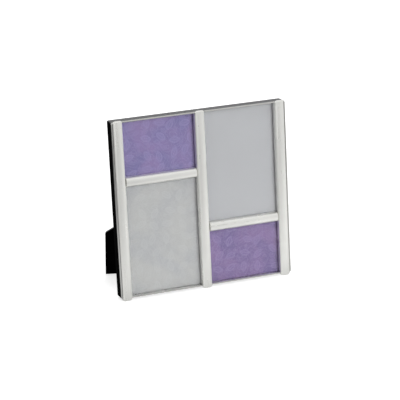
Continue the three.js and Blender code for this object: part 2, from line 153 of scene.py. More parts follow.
@dataclass(frozen=True)
class RivetPlan:
    """The hinge's rivets: the radius of their shanks, and their places from the middle of the hinge."""

    radius: float = 1.0
    offset: float = 6.0
    station: float = 10.0

    @property
    def sides(self) -> Span:
        """The places of the two rivets of a leaf, across it."""
        return -self.offset, self.offset


RIVETS = RivetPlan()


def runs_through(place: Vector, way: Vector) -> bool:
    """Says yes to an edge that runs from front to back."""
    return abs(way.y) > ALONG


class Bench:
    """The modelling bench: Blender's own tools, each on one piece at a time."""

    def free(self) -> None:
        """Leaves edit mode and lets go of every object."""
        if bpy.context.mode != "OBJECT":
            bpy.ops.object.mode_set(mode="OBJECT")
        bpy.ops.object.select_all(action="DESELECT")

    def only(self, piece: bpy.types.Object) -> None:
        """Makes one piece the selected and active object.

        Args:
            piece: The piece.
        """
        self.free()
        piece.select_set(True)
        bpy.context.view_layer.objects.active = piece

    def started(self, name: str) -> bpy.types.Object:
        """Names the primitive that was just added and puts its place into its mesh.

        Args:
            name: The new object's name.

        Returns:
            The object.
        """
        piece = bpy.context.active_object
        piece.name = name
        piece.data.name = name
        bpy.ops.object.transform_apply(location=True, rotation=True, scale=True)
        return piece

    def block(self, name: str, low: Triple, high: Triple) -> bpy.types.Object:
        """Adds a block between two corners.

        Args:
            name: The new object's name.
            low: Its lowest corner.
            high: Its highest corner.

        Returns:
            The object.
        """
        self.free()
        middle = [(a + b) / 2 for a, b in zip(low, high)]
        extent = [b - a for a, b in zip(low, high)]
        bpy.ops.mesh.primitive_cube_add(size=1, location=middle, scale=extent)
        return self.started(name)

    def rod(self, name: str, foot: Triple, tip: Triple, radius: float, sides: int = 40) -> bpy.types.Object:
        """Adds a round rod between two points.

        Args:
            name: The new object's name.
            foot: The middle of one end.
            tip: The middle of the other end.
            radius: The rod's radius.
            sides: The number of flats round it.

        Returns:
            The object.
        """
        self.free()
        way = Vector(tip) - Vector(foot)
        middle = (Vector(tip) + Vector(foot)) / 2
        turn = way.to_track_quat("Z", "Y").to_euler()
        bpy.ops.mesh.primitive_cylinder_add(
            vertices=sides, radius=radius, depth=way.length, location=middle, rotation=turn
        )
        return self.started(name)

    def plate(self, name: str, low: Triple, high: Triple, radius: float, segments: int) -> bpy.types.Object:
        """Adds a block whose edges from front to back are rounded.

        Args:
            name: The new object's name.
            low: Its lowest corner.
            high: Its highest corner.
            radius: The roundings' radius.
            segments: The number of flats in a rounding.

        Returns:
            The object.
        """
        piece = self.block(name, low, high)
        with self.editing(piece):
            self.round_edges(piece, runs_through, radius, segments)
        return piece

    @contextmanager
    def editing(self, piece: bpy.types.Object) -> Iterator[None]:
        """Opens a piece in edit mode for the length of a with block.

        Args:
            piece: The piece to open.

        Returns:
            A context manager.
        """
        self.only(piece)
        bpy.ops.object.mode_set(mode="EDIT")
        yield
        bpy.ops.object.mode_set(mode="OBJECT")

    def select(self, piece: bpy.types.Object, part: Part, wanted: Callable[..., bool]) -> None:
        """Selects the corners or the edges that a test says yes to.

        Args:
            piece: The piece that is open in edit mode.
            part: The kind of element.
            wanted: The test of one element.
        """
        bpy.ops.mesh.select_all(action="DESELECT")
        bpy.ops.mesh.select_mode(type=part.value)
        mesh = bmesh.from_edit_mesh(piece.data)
        for element in mesh.verts if part is Part.CORNERS else mesh.edges:
            if wanted(element):
                element.select_set(True)
        mesh.select_flush_mode()
        bmesh.update_edit_mesh(piece.data)

    def mark(self, piece: bpy.types.Object, pick: Pick) -> None:
        """Selects corners by their place and normal, in edit mode."""
        self.select(piece, Part.CORNERS, lambda corner: pick(corner.co, corner.normal))

    @staticmethod
    def middle_and_way(edge: bmesh.types.BMEdge) -> tuple[Vector, Vector]:
        """An edge's middle and its direction."""
        a, b = (v.co for v in edge.verts)
        return (a + b) / 2, (b - a).normalized()

    def bevel(self, radius: float, segments: int) -> None:
        """Rounds the selected edges."""
        bpy.ops.mesh.bevel(
            offset=radius,
            offset_type="OFFSET",
            segments=segments,
            profile=0.5,
            affect="EDGES",
            clamp_overlap=False,
        )

    def round_edges(self, piece: bpy.types.Object, pick: Pick, radius: float, segments: int) -> None:
        """Rounds the edges that a pick says yes to.

        Args:
            piece: The piece that is open in edit mode.
            pick: Says yes to an edge's middle and direction.
            radius: The rounding's radius.
            segments: The number of flats in the rounding.
        """
        self.select(piece, Part.EDGES, lambda edge: pick(*self.middle_and_way(edge)))
        self.bevel(radius, segments)

    def round_rim(self, piece: bpy.types.Object, look: Triple, radius: float, segments: int) -> None:
        """Rounds the outline of the faces that look one way.

        Args:
            piece: The piece that is open in edit mode.
            look: The direction.
            radius: The rounding's radius.
            segments: The number of flats in the rounding.
        """
        way = Vector(look)

        def on_rim(edge: bmesh.types.BMEdge) -> bool:
            """Says yes to an edge between a face that looks that way and one that doesn't."""
            shares = sorted(face.normal.dot(way) for face in edge.link_faces)
            return len(shares) == 2 and shares[0] < AWAY and shares[1] > FACING

        self.select(piece, Part.EDGES, on_rim)
        self.bevel(radius, segments)

    def round_rims(self, piece: bpy.types.Object, *rims: tuple[Triple, float, int]) -> None:
        """Opens a piece and rounds the outlines of its faces, one direction after the other.

        Args:
            piece: The piece.
            rims: The direction, the radius and the number of flats of each rounding.
        """
        with self.editing(piece):
            for rim in rims:
                self.round_rim(piece, *rim)

    def slice(self, place: Triple, normal: Triple) -> None:
        """Adds a line of edges all round the piece in edit mode, where a plane crosses it."""
        bpy.ops.mesh.select_all(action="SELECT")
        bpy.ops.mesh.bisect(plane_co=place, plane_no=normal, threshold=DOUBLE)

    def shift(self, piece: bpy.types.Object, pick: Pick, step: Triple) -> None:
        """Moves the corners that a pick says yes to, in edit mode."""
        self.mark(piece, pick)
        bpy.ops.transform.translate(value=step)

    def widen(self, piece: bpy.types.Object, pick: Pick, factors: Triple, about: Triple = (0, 0, 0)) -> None:
        """Scales the corners that a pick says yes to, about a point, in edit mode."""
        self.mark(piece, pick)
        bpy.ops.transform.resize(value=factors, center_override=about)

    def join(self, piece: bpy.types.Object, how: Join, *tools: bpy.types.Object) -> None:
        """Cuts or welds other solids into a piece, and removes them.

        Args:
            piece: The piece that is changed.
            how: Whether they are cut away or welded on.
            tools: The other solids.
        """
        for tool in tools:
            self.only(piece)
            step = piece.modifiers.new(how.name, "BOOLEAN")
            step.operation = how.value
            step.solver = "EXACT"
            step.object = tool
            bpy.ops.object.modifier_apply(modifier=step.name)
            bpy.data.meshes.remove(tool.data)

    def drill(
        self, piece: bpy.types.Object, foot: Triple, tip: Triple, radius: float, sides: int = 24
    ) -> None:
        """Cuts a round hole through a piece, between two points."""
        self.join(piece, Join.CUT, self.rod("hole", foot, tip, radius, sides))

    def clean(self, piece: bpy.types.Object) -> None:
        """Drops the slivers and the points along straight edges that a cut leaves, and splits large faces.

        Args:
            piece: The piece.
        """
        with self.editing(piece):
            bpy.ops.mesh.select_all(action="SELECT")
            bpy.ops.mesh.dissolve_degenerate(threshold=SLIVER)
            self.select(piece, Part.CORNERS, lambda corner: len(corner.link_edges) == 2)
            if any(corner.select for corner in bmesh.from_edit_mesh(piece.data).verts):
                bpy.ops.mesh.dissolve_verts()
            bpy.ops.mesh.select_mode(type="FACE")
            bpy.ops.mesh.select_face_by_sides(number=4, type="GREATER", extend=False)
            bpy.ops.mesh.quads_convert_to_tris(ngon_method="CLIP")

    def soften(self, piece: bpy.types.Object, width: float, segments: int = 3, angle: float = 50) -> None:
        """Rounds every edge that is sharper than an angle.

        Args:
            piece: The piece.
            width: The rounding's width.
            segments: The number of flats in the rounding.
            angle: The angle, in degrees.
        """
        self.only(piece)
        step = piece.modifiers.new("soften", "BEVEL")
        step.width = width
        step.segments = segments
        step.limit_method = "ANGLE"
        step.angle_limit = math.radians(angle)
        step.use_clamp_overlap = True
        bpy.ops.object.modifier_apply(modifier=step.name)

    def twin(self, piece: bpy.types.Object, name: str) -> bpy.types.Object:
        """Copies a piece, with a mesh of its own.

        Args:
            piece: The piece to copy.
            name: The copy's name.

        Returns:
            The copy.
        """
        self.only(piece)
        bpy.ops.object.duplicate()
        copy = bpy.context.active_object
        copy.name = name
        copy.data.name = name
        return copy

    def place(self, piece: bpy.types.Object, move: Matrix) -> None:
        """Moves a piece and puts its place into its mesh.

        Args:
            piece: The piece.
            move: The move.
        """
        self.only(piece)
        piece.matrix_world = move
        bpy.ops.object.transform_apply(location=True, rotation=True, scale=True)

    def smooth(self, piece: bpy.types.Object, angle: float = 32) -> None:
        """Merges doubles, turns faces outwards and shades all but the sharp edges smooth.

        Args:
            piece: The piece.
            angle: The angle from which an edge stays sharp, in degrees.
        """
        with self.editing(piece):
            bpy.ops.mesh.select_all(action="SELECT")
            bpy.ops.mesh.remove_doubles(threshold=DOUBLE)
            bpy.ops.mesh.normals_make_consistent(inside=False)
        self.only(piece)
        bpy.ops.object.shade_smooth_by_angle(angle=math.radians(angle))


class Graph:
    """The nodes of a material or a group, added and linked by short calls."""

    def __init__(self, tree: bpy.types.NodeTree) -> None:
        """Works on a node tree."""
        self.tree = tree

    def put(self, target: bpy.types.NodeSocket, value: Value) -> None:
        """Links a socket to another, or sets its value.

        Args:
            target: The socket.
            value: The other socket, a number, a vector or an opaque colour.
        """
        if isinstance(value, bpy.types.NodeSocket):
            self.tree.links.new(value, target)
        elif target.type == "RGBA":
            target.default_value = (*value, 1.0)
        else:
            target.default_value = value

    def node(self, kind: str, inputs: dict[str, Value] | None = None, **settings: object) -> bpy.types.Node:
        """Adds a node.

        Args:
            kind: The node's type, without the usual prefix.
            inputs: The values or sockets for its named inputs.
            settings: The node's own settings.

        Returns:
            The node.
        """
        node = self.tree.nodes.new("ShaderNode" + kind)
        for key, setting in settings.items():
            setattr(node, key, setting)
        for name, value in (inputs or {}).items():
            self.put(node.inputs[name], value)
        return node

    def math(self, operation: str, a: Value, b: Value = 0.0, c: Value = 0.0) -> bpy.types.NodeSocket:
        """Adds a Math node.

        Args:
            operation: What it does.
            a: Its first value.
            b: Its second value.
            c: Its third value.

        Returns:
            The result's socket.
        """
        node = self.node("Math", operation=operation)
        for socket, value in zip(node.inputs, (a, b, c)):
            self.put(socket, value)
        return node.outputs[0]

    def vector(self, operation: str, a: Value, b: Value) -> bpy.types.NodeSocket:
        """Adds a Vector Math node.

        Args:
            operation: What it does.
            a: Its first vector.
            b: Its second vector.

        Returns:
            The result's socket.
        """
        node = self.node("VectorMath", operation=operation)
        for socket, value in zip(node.inputs, (a, b)):
            self.put(socket, value)
        return node.outputs[0]

    def noise(self, place: Value, scale: Value, detail: float, **more: Value) -> bpy.types.NodeSocket:
        """Adds a noise texture and gives its value."""
        return self.node("TexNoise", {"Vector": place, "Scale": scale, "Detail": detail, **more}).outputs[0]

    def split(self, vector: Value) -> bpy.types.bpy_prop_collection:
        """Parts a vector into its X, Y and Z sockets."""
        return self.node("SeparateXYZ", {"Vector": vector}).outputs

    def band(
        self, value: Value, low: float, high: float, start: float = 0.0, end: float = 1.0
    ) -> bpy.types.NodeSocket:
        """Takes a value from one range to another by a smooth step.

        Args:
            value: The value.
            low: Where the step begins.
            high: Where it ends.
            start: The result up to its beginning.
            end: The result from its end.

        Returns:
            The result's socket.
        """
        inputs = {"Value": value, "From Min": low, "From Max": high, "To Min": start, "To Max": end}
        return self.node("MapRange", inputs, interpolation_type="SMOOTHSTEP").outputs[0]

    def blend(
        self, share: Value, first: Value, second: Value, colours: bool = True
    ) -> bpy.types.NodeSocket:
        """Mixes two colours or two numbers.

        Args:
            share: The second one's share.
            first: The one for a share of zero.
            second: The one for a share of one.
            colours: Whether they are colours.

        Returns:
            The result's socket.
        """
        node = self.node("Mix", data_type="RGBA" if colours else "FLOAT")
        # A Mix node has sockets of its own for each kind of value.
        places = (0, 6, 7) if colours else (0, 2, 3)
        for index, value in zip(places, (share, first, second)):
            self.put(node.inputs[index], value)
        return node.outputs[2 if colours else 0]

    def bump(self, height: Value, strength: float, depth: float) -> bpy.types.NodeSocket:
        """Turns a height into a normal, with a depth in metres."""
        return self.node("Bump", {"Height": height, "Strength": strength, "Distance": depth}).outputs[0]


Group = tuple[Graph, bpy.types.Node, bpy.types.Node]


class Effects:
    """The surface effects that more than one finish uses, each a node group built once."""

    def __init__(self) -> None:
        """Starts with no groups."""
        self.groups: dict[str, bpy.types.NodeTree] = {}

    def begin(self, name: str, inputs: dict[str, str], outputs: list[str]) -> Group:
        """Starts a node group.

        Args:
            name: The group's name.
            inputs: The socket type of each input, by name.
            outputs: The names of its outputs, which are plain numbers.

        Returns:
            The group's graph, its input node and its output node.
        """
        tree = bpy.data.node_groups.new(name, "ShaderNodeTree")
        for label, kind in inputs.items():
            tree.interface.new_socket(name=label, in_out="INPUT", socket_type=kind)
        for label in outputs:
            tree.interface.new_socket(name=label, in_out="OUTPUT", socket_type=NUMBER)
        graph = Graph(tree)
        self.groups[name] = tree
        return graph, tree.nodes.new("NodeGroupInput"), tree.nodes.new("NodeGroupOutput")

    def use(self, graph: Graph, maker: Callable[[], None], **inputs: Value) -> bpy.types.Node:
        """Places a group in a material, and makes the group at its first use.

        Args:
            graph: The material's graph.
            maker: The method that makes the group, whose name is the group's.
            inputs: The values or sockets of its inputs.

        Returns:
            The group's node.
        """
        name = maker.__name__
        if name not in self.groups:
            maker()
        node = graph.tree.nodes.new("ShaderNodeGroup")
        node.node_tree = self.groups[name]
        for label, value in inputs.items():
            graph.put(node.inputs[label], value)
        return node

    def brushing(self) -> None:
        """Fine marks along a stretched direction, and slow changes of gloss along them."""
        inputs = {"Vector": VECTOR, "Stretch": VECTOR}
        graph, inlet, outlet = self.begin("brushing", inputs, ["Mark", "Gloss"])
        drawn = graph.vector("MULTIPLY", inlet.outputs["Vector"], inlet.outputs["Stretch"])
        mark = graph.noise(drawn, 1.0, 3.0, Roughness=0.65)
        slow = graph.noise(drawn, 0.16, 2.0)
        graph.put(outlet.inputs["Mark"], graph.band(mark, 0.3, 0.7))
        graph.put(outlet.inputs["Gloss"], graph.band(slow, 0.3, 0.7))

    def clouding(self) -> None:
        """Soft uneven patches, such as handling marks, fading or a brushed nap, and fine specks."""
        graph, inlet, outlet = self.begin("clouding", SPREAD, ["Patch", "Speck"])
        place, scale = inlet.outputs["Vector"], inlet.outputs["Scale"]
        patch = graph.noise(place, scale, 4.0, Distortion=0.6)
        speck = graph.noise(place, graph.math("MULTIPLY", scale, 14.0), 2.0)
        graph.put(outlet.inputs["Patch"], graph.band(patch, 0.34, 0.66))
        graph.put(outlet.inputs["Speck"], graph.band(speck, 0.6, 0.74))

    def fibres(self) -> None:
        """Short crossed fibres, as in paper, board and pile."""
        graph, inlet, outlet = self.begin("fibres", SPREAD, ["Tone", "Height"])
        strands = []
        for turn, stretch in ((0.4, (1.0, 0.18, 0.35)), (1.9, (0.2, 1.0, 0.3)), (2.7, (0.3, 0.25, 1.0))):
            turned = (turn, turn * 0.7, turn * 1.3)
            laid = graph.node(
                "Mapping", {"Vector": inlet.outputs["Vector"], "Rotation": turned, "Scale": stretch}
            )
            strands.append(graph.noise(laid.outputs[0], inlet.outputs["Scale"], 3.0, Roughness=0.6))
        crossed = graph.math("MAXIMUM", graph.math("MAXIMUM", strands[0], strands[1]), strands[2])
        graph.put(outlet.inputs["Tone"], graph.band(crossed, 0.42, 0.78))
        graph.put(outlet.inputs["Height"], crossed)

    def dust_and_painted_top_light(self) -> None:
        """Dust on what looks up, thickest where the surface is level; on the velvet it is also painted light
        on the top faces.
        """
        inputs = {"Vector": VECTOR, "Normal": VECTOR, "Scale": NUMBER}
        graph, inlet, outlet = self.begin("dust_and_painted_top_light", inputs, ["Dust"])
        level = graph.band(graph.split(inlet.outputs["Normal"])["Z"], 0.45, 0.98)
        uneven = graph.noise(inlet.outputs["Vector"], inlet.outputs["Scale"], 5.0)
        share = graph.band(uneven, 0.25, 0.75, 0.6, 1.0)
        graph.put(outlet.inputs["Dust"], graph.math("MULTIPLY", level, share))

    def leaves(self) -> None:
        """Loose leaves drawn in line, each turned its own way, and swirls that wander between them."""
        graph, inlet, outlet = self.begin("leaves", SPREAD, ["Line", "Blade", "Swirl"])
        half_length, half_width = 0.37, 0.18
        spread = graph.node("VectorMath", {"Scale": inlet.outputs["Scale"]}, operation="SCALE")
        graph.put(spread.inputs[0], inlet.outputs["Vector"])
        scatter = graph.node(
            "TexVoronoi",
            {"Vector": spread.outputs[0], "Scale": 1.0, "Randomness": 0.45},
            voronoi_dimensions="2D",
        )
        local = graph.vector("SUBTRACT", spread.outputs[0], scatter.outputs["Position"])
        chance = graph.node("SeparateColor", {"Color": scatter.outputs["Color"]})
        turned = graph.node(
            "VectorRotate",
            {"Vector": local, "Angle": graph.math("MULTIPLY", chance.outputs[0], math.tau)},
            rotation_type="Z_AXIS",
        )
        place = graph.split(turned.outputs[0])
        side, along = graph.math("ABSOLUTE", place["X"]), place["Y"]
        arch = graph.math("SUBTRACT", 1.0, graph.math("POWER", graph.math("DIVIDE", along, half_length), 2.0))
        edge = graph.math("SUBTRACT", graph.math("MULTIPLY", arch, half_width), side)
        blade = graph.band(edge, 0.0, 0.03)
        outline = graph.band(graph.math("ABSOLUTE", edge), 0.035, 0.06, 1.0, 0.0)
        rib = graph.band(side, 0.02, 0.04, 1.0, 0.0)
        slant = graph.math("MULTIPLY_ADD", side, -0.9, along)
        wave = graph.math("SINE", graph.math("MULTIPLY", slant, 44.0))
        veins = graph.math("MAXIMUM", graph.band(wave, 0.2, 0.8, 0.0, 0.6), rib)
        inside = graph.math("MULTIPLY", blade, veins)
        short = graph.band(graph.math("ABSOLUTE", along), half_length, half_length + 0.03, 1.0, 0.0)
        drawn = graph.math("MULTIPLY", graph.math("MAXIMUM", inside, outline), short)
        graph.put(outlet.inputs["Line"], drawn)
        graph.put(outlet.inputs["Blade"], blade)
        drift = graph.node(
            "TexNoise", {"Vector": spread.outputs[0], "Scale": 1.3, "Detail": 0.0}, noise_dimensions="2D"
        )
        level = graph.math("PINGPONG", graph.math("MULTIPLY", drift.outputs[0], 5.0), 0.5)
        graph.put(outlet.inputs["Swirl"], graph.band(level, 0.08, 0.14, 1.0, 0.0))


EFFECTS = Effects()


@dataclass(frozen=True)
class Finish:
    """A finish: one material, made of a Principled shader and this finish's own nodes."""

    name: str
    roughness: float = 0.5
    metallic: float = 0.0

    def material(self) -> bpy.types.Material:
        """Makes the material.

        Returns:
            The material, with this finish's nodes.
        """
        made = bpy.data.materials.new(self.name)
        made.use_nodes = True
        graph = Graph(made.node_tree)
        shader = made.node_tree.nodes["Principled BSDF"]
        shader.inputs["Roughness"].default_value = self.roughness
        shader.inputs["Metallic"].default_value = self.metallic
        self.nodes(graph, shader)
        return made

    def nodes(self, graph: Graph, shader: bpy.types.Node) -> None:
        """Adds the nodes that feed the shader.

        Args:
            graph: The material's graph.
            shader: Its Principled shader.
        """
        raise NotImplementedError

    @staticmethod
    def places(graph: Graph) -> bpy.types.NodeSocket:
        """The Object coordinates."""
        return graph.node("TexCoord").outputs["Object"]

    def turned(self, graph: Graph, angle: float) -> bpy.types.NodeSocket:
        """The Object coordinates, turned about x by an angle."""
        inputs = {"Vector": self.places(graph), "Rotation": (angle, 0.0, 0.0)}
        return graph.node("Mapping", inputs).outputs[0]

    def upright(self, graph: Graph) -> bpy.types.NodeSocket:
        """The Object coordinates with the frame's lean taken out."""
        return self.turned(graph, STAND.lean)

    def facing(self, graph: Graph) -> bpy.types.NodeSocket:
        """The Object coordinates turned so that the frame's face is the plane of x and y."""
        return self.turned(graph, STAND.lean - math.pi / 2)


@dataclass(frozen=True)
class Silver(Finish):
    """Silver plate, with brush marks, handling marks and a little tarnish."""

    metallic: float = 1.0
    bright: Triple = (0.95, 0.95, 0.915)
    dull: Triple = (0.86, 0.86, 0.825)
    grain: Grain = Grain.NONE
    spread: float = 0.10
    relief: float = 0.06

    def nodes(self, graph: Graph, shader: bpy.types.Node) -> None:
        """Adds the plate's marks, patches and gloss.

        Args:
            graph: The material's graph.
            shader: Its Principled shader.
        """
        place = self.upright(graph)
        brush = EFFECTS.use(graph, EFFECTS.brushing, Vector=place, Stretch=self.grain.value)
        cloud = EFFECTS.use(graph, EFFECTS.clouding, Vector=place, Scale=38.0)
        tarnish = graph.math("MULTIPLY", cloud.outputs["Patch"], 0.35)
        worn = graph.math("MULTIPLY_ADD", brush.outputs["Mark"], 0.25, tarnish)
        graph.put(shader.inputs["Base Color"], graph.blend(worn, self.bright, self.dull))
        smoothest = self.roughness - self.spread / 2
        gloss = graph.math("MULTIPLY_ADD", brush.outputs["Gloss"], self.spread, smoothest)
        smudged = graph.math("MULTIPLY_ADD", cloud.outputs["Patch"], self.spread / 2, gloss)
        graph.put(shader.inputs["Roughness"], smudged)
        graph.put(shader.inputs["Normal"], graph.bump(brush.outputs["Mark"], self.relief, 0.02 * MM))


@dataclass(frozen=True)
class Velvet(Finish):
    """Short black pile with painted shade and light by side, darkest on the front and left faces and paler on
    the back and right, with dust and painted light on top.
    """

    roughness: float = 0.95
    deep: Triple = (0.0008, 0.0008, 0.0009)
    lifted: Triple = (0.0032, 0.0032, 0.0034)
    # Paler colours for the back and right faces: painted light by side.
    raised_deep: Triple = (0.007, 0.007, 0.0075)
    raised: Triple = (0.030, 0.030, 0.032)
    # Grey of the top faces: dust and painted light.
    dusty: Triple = (0.27, 0.27, 0.275)
    sheen: float = 0.012
    sheen_roughness: float = 0.4

    def nodes(self, graph: Graph, shader: bpy.types.Node) -> None:
        """Adds the pile, its nap, its painted side shading, and its dust with painted top light.

        Args:
            graph: The material's graph.
            shader: Its Principled shader.
        """
        place = self.places(graph)
        look = graph.node("TexCoord").outputs["Normal"]
        nap = EFFECTS.use(graph, EFFECTS.clouding, Vector=place, Scale=55.0)
        pile = EFFECTS.use(graph, EFFECTS.fibres, Vector=place, Scale=2600.0)
        dust = EFFECTS.use(graph, EFFECTS.dust_and_painted_top_light, Vector=place, Normal=look, Scale=420.0)
        strands = graph.math("MULTIPLY", pile.outputs["Tone"], 0.5)
        lift = graph.math("MULTIPLY_ADD", nap.outputs["Patch"], 0.5, strands)
        smooth = graph.blend(lift, self.deep, self.lifted)
        # Painted shade and light by side: the front and left faces keep the darkest colours, the back and
        # right faces take paler ones.
        paler_side_cloth = graph.blend(lift, self.raised_deep, self.raised)
        side = graph.split(look)
        paler_side_share = graph.band(graph.math("ADD", side["X"], side["Y"]), 0.2, 0.9)
        cloth = graph.blend(paler_side_share, smooth, paler_side_cloth)
        # Dust and painted light on the top faces, over the cloth.
        graph.put(shader.inputs["Base Color"], graph.blend(dust.outputs["Dust"], cloth, self.dusty))
        shader.inputs["Specular IOR Level"].default_value = 0.0
        shader.inputs["Sheen Weight"].default_value = self.sheen
        shader.inputs["Sheen Roughness"].default_value = self.sheen_roughness
        graph.put(shader.inputs["Normal"], graph.bump(pile.outputs["Height"], 0.6, 0.12 * MM))


@dataclass(frozen=True)
class Glass(Finish):
    """Clear float glass with faint wipe marks, which lets the lamps through."""

    roughness: float = 0.01
    tint: Triple = (0.985, 0.992, 0.988)
    index: float = 1.45
    smear: float = 0.03

    def nodes(self, graph: Graph, shader: bpy.types.Node) -> None:
        """Adds the wipe marks and the way through for the lamps.

        Args:
            graph: The material's graph.
            shader: Its Principled shader.
        """
        cloud = EFFECTS.use(graph, EFFECTS.clouding, Vector=self.facing(graph), Scale=26.0)
        wiped = graph.math("MULTIPLY_ADD", cloud.outputs["Patch"], self.smear, self.roughness)
        graph.put(shader.inputs["Roughness"], wiped)
        graph.put(shader.inputs["Base Color"], self.tint)
        shader.inputs["Transmission Weight"].default_value = 1.0
        shader.inputs["IOR"].default_value = self.index
        clear = graph.node("BsdfTransparent", {"Color": self.tint})
        shadow = graph.node("LightPath").outputs["Is Shadow Ray"]
        let = graph.node("MixShader")
        for socket, value in zip(let.inputs, (shadow, shader.outputs[0], clear.outputs[0])):
            graph.put(socket, value)
        graph.put(graph.tree.nodes["Material Output"].inputs["Surface"], let.outputs[0])


@dataclass(frozen=True)
class PrintedCard(Finish):
    """Insert card: a mottled ground with tone-on-tone leaves, or left plain."""

    roughness: float = 0.62
    ground: Triple = (0.213, 0.182, 0.394)
    blush: Triple = (0.284, 0.208, 0.430)
    leaf: Triple = (0.36, 0.32, 0.58)
    strength: float = 0.4
    leaf_scale: float = 60.0
    mottle: float = 1.0
    offset: Triple = (0.0, 0.0, 0.0)

    def nodes(self, graph: Graph, shader: bpy.types.Node) -> None:
        """Adds the print and the paper's tooth.

        Args:
            graph: The material's graph.
            shader: Its Principled shader.
        """
        place = graph.vector("ADD", self.facing(graph), self.offset)
        cloud = EFFECTS.use(graph, EFFECTS.clouding, Vector=place, Scale=30.0)
        tooth = EFFECTS.use(graph, EFFECTS.fibres, Vector=place, Scale=1500.0)
        patch = graph.math("MULTIPLY", cloud.outputs["Patch"], self.mottle)
        paper = graph.blend(patch, self.ground, self.blush)
        if self.strength > 0:
            paper = graph.blend(self.leaf_share(graph, place), paper, self.leaf)
        toothed = graph.math("MULTIPLY", tooth.outputs["Tone"], 0.12)
        darker = tuple(channel * 0.7 for channel in self.ground)
        graph.put(shader.inputs["Base Color"], graph.blend(toothed, paper, darker))
        rough = graph.math("MULTIPLY_ADD", tooth.outputs["Tone"], 0.1, self.roughness)
        graph.put(shader.inputs["Roughness"], rough)
        graph.put(shader.inputs["Normal"], graph.bump(tooth.outputs["Height"], 0.15, 0.03 * MM))
        shader.inputs["Specular IOR Level"].default_value = 0.25

    def leaf_share(self, graph: Graph, place: bpy.types.NodeSocket) -> bpy.types.NodeSocket:
        """Adds large leaves with small ones and swirls behind them.

        Args:
            graph: The material's graph.
            place: The coordinates on the card.

        Returns:
            The share of the leaves' colour.
        """
        large = EFFECTS.use(graph, EFFECTS.leaves, Vector=place, Scale=self.leaf_scale)
        small = EFFECTS.use(graph, EFFECTS.leaves, Vector=place, Scale=self.leaf_scale * 1.6)
        fill = graph.math("MULTIPLY", large.outputs["Blade"], self.strength * 0.25)
        line = graph.math("MULTIPLY", large.outputs["Line"], self.strength)
        behind = graph.math("MAXIMUM", small.outputs["Line"], large.outputs["Swirl"])
        faint = graph.math("MULTIPLY", behind, self.strength * 0.6)
        return graph.math("MAXIMUM", graph.math("MAXIMUM", fill, line), faint)


@dataclass(frozen=True)
class Board(Finish):
    """Grey packing board, with its fibres and specks."""

    roughness: float = 0.9
    pale: Triple = (0.36, 0.32, 0.26)
    dark: Triple = (0.24, 0.21, 0.17)

    def nodes(self, graph: Graph, shader: bpy.types.Node) -> None:
        """Adds the fibres and the specks.

        Args:
            graph: The material's graph.
            shader: Its Principled shader.
        """
        place = self.places(graph)
        tooth = EFFECTS.use(graph, EFFECTS.fibres, Vector=place, Scale=700.0)
        cloud = EFFECTS.use(graph, EFFECTS.clouding, Vector=place, Scale=60.0)
        shade = graph.math("MAXIMUM", tooth.outputs["Tone"], cloud.outputs["Speck"])
        graph.put(shader.inputs["Base Color"], graph.blend(shade, self.pale, self.dark))
        graph.put(shader.inputs["Normal"], graph.bump(tooth.outputs["Height"], 0.4, 0.08 * MM))


@dataclass(frozen=True)
class Enamel(Finish):
    """Black stoved enamel on steel, with a fine orange peel and dust where it looks up."""

    roughness: float = 0.32
    black: Triple = (0.012, 0.012, 0.013)
    grey: Triple = (0.05, 0.05, 0.052)

    def nodes(self, graph: Graph, shader: bpy.types.Node) -> None:
        """Adds the peel, the rubbed patches and the dust.

        Args:
            graph: The material's graph.
            shader: Its Principled shader.
        """
        place = self.places(graph)
        look = graph.node("TexCoord").outputs["Normal"]
        cloud = EFFECTS.use(graph, EFFECTS.clouding, Vector=place, Scale=260.0)
        dust = EFFECTS.use(graph, EFFECTS.dust_and_painted_top_light, Vector=place, Normal=look, Scale=600.0)
        settled = graph.math("MULTIPLY", dust.outputs["Dust"], 0.6)
        shade = graph.math("MULTIPLY_ADD", cloud.outputs["Patch"], 0.4, settled)
        graph.put(shader.inputs["Base Color"], graph.blend(shade, self.black, self.grey))
        graph.put(shader.inputs["Roughness"], graph.math("MULTIPLY_ADD", shade, 0.2, self.roughness))
        graph.put(shader.inputs["Normal"], graph.bump(cloud.outputs["Patch"], 0.2, 0.05 * MM))


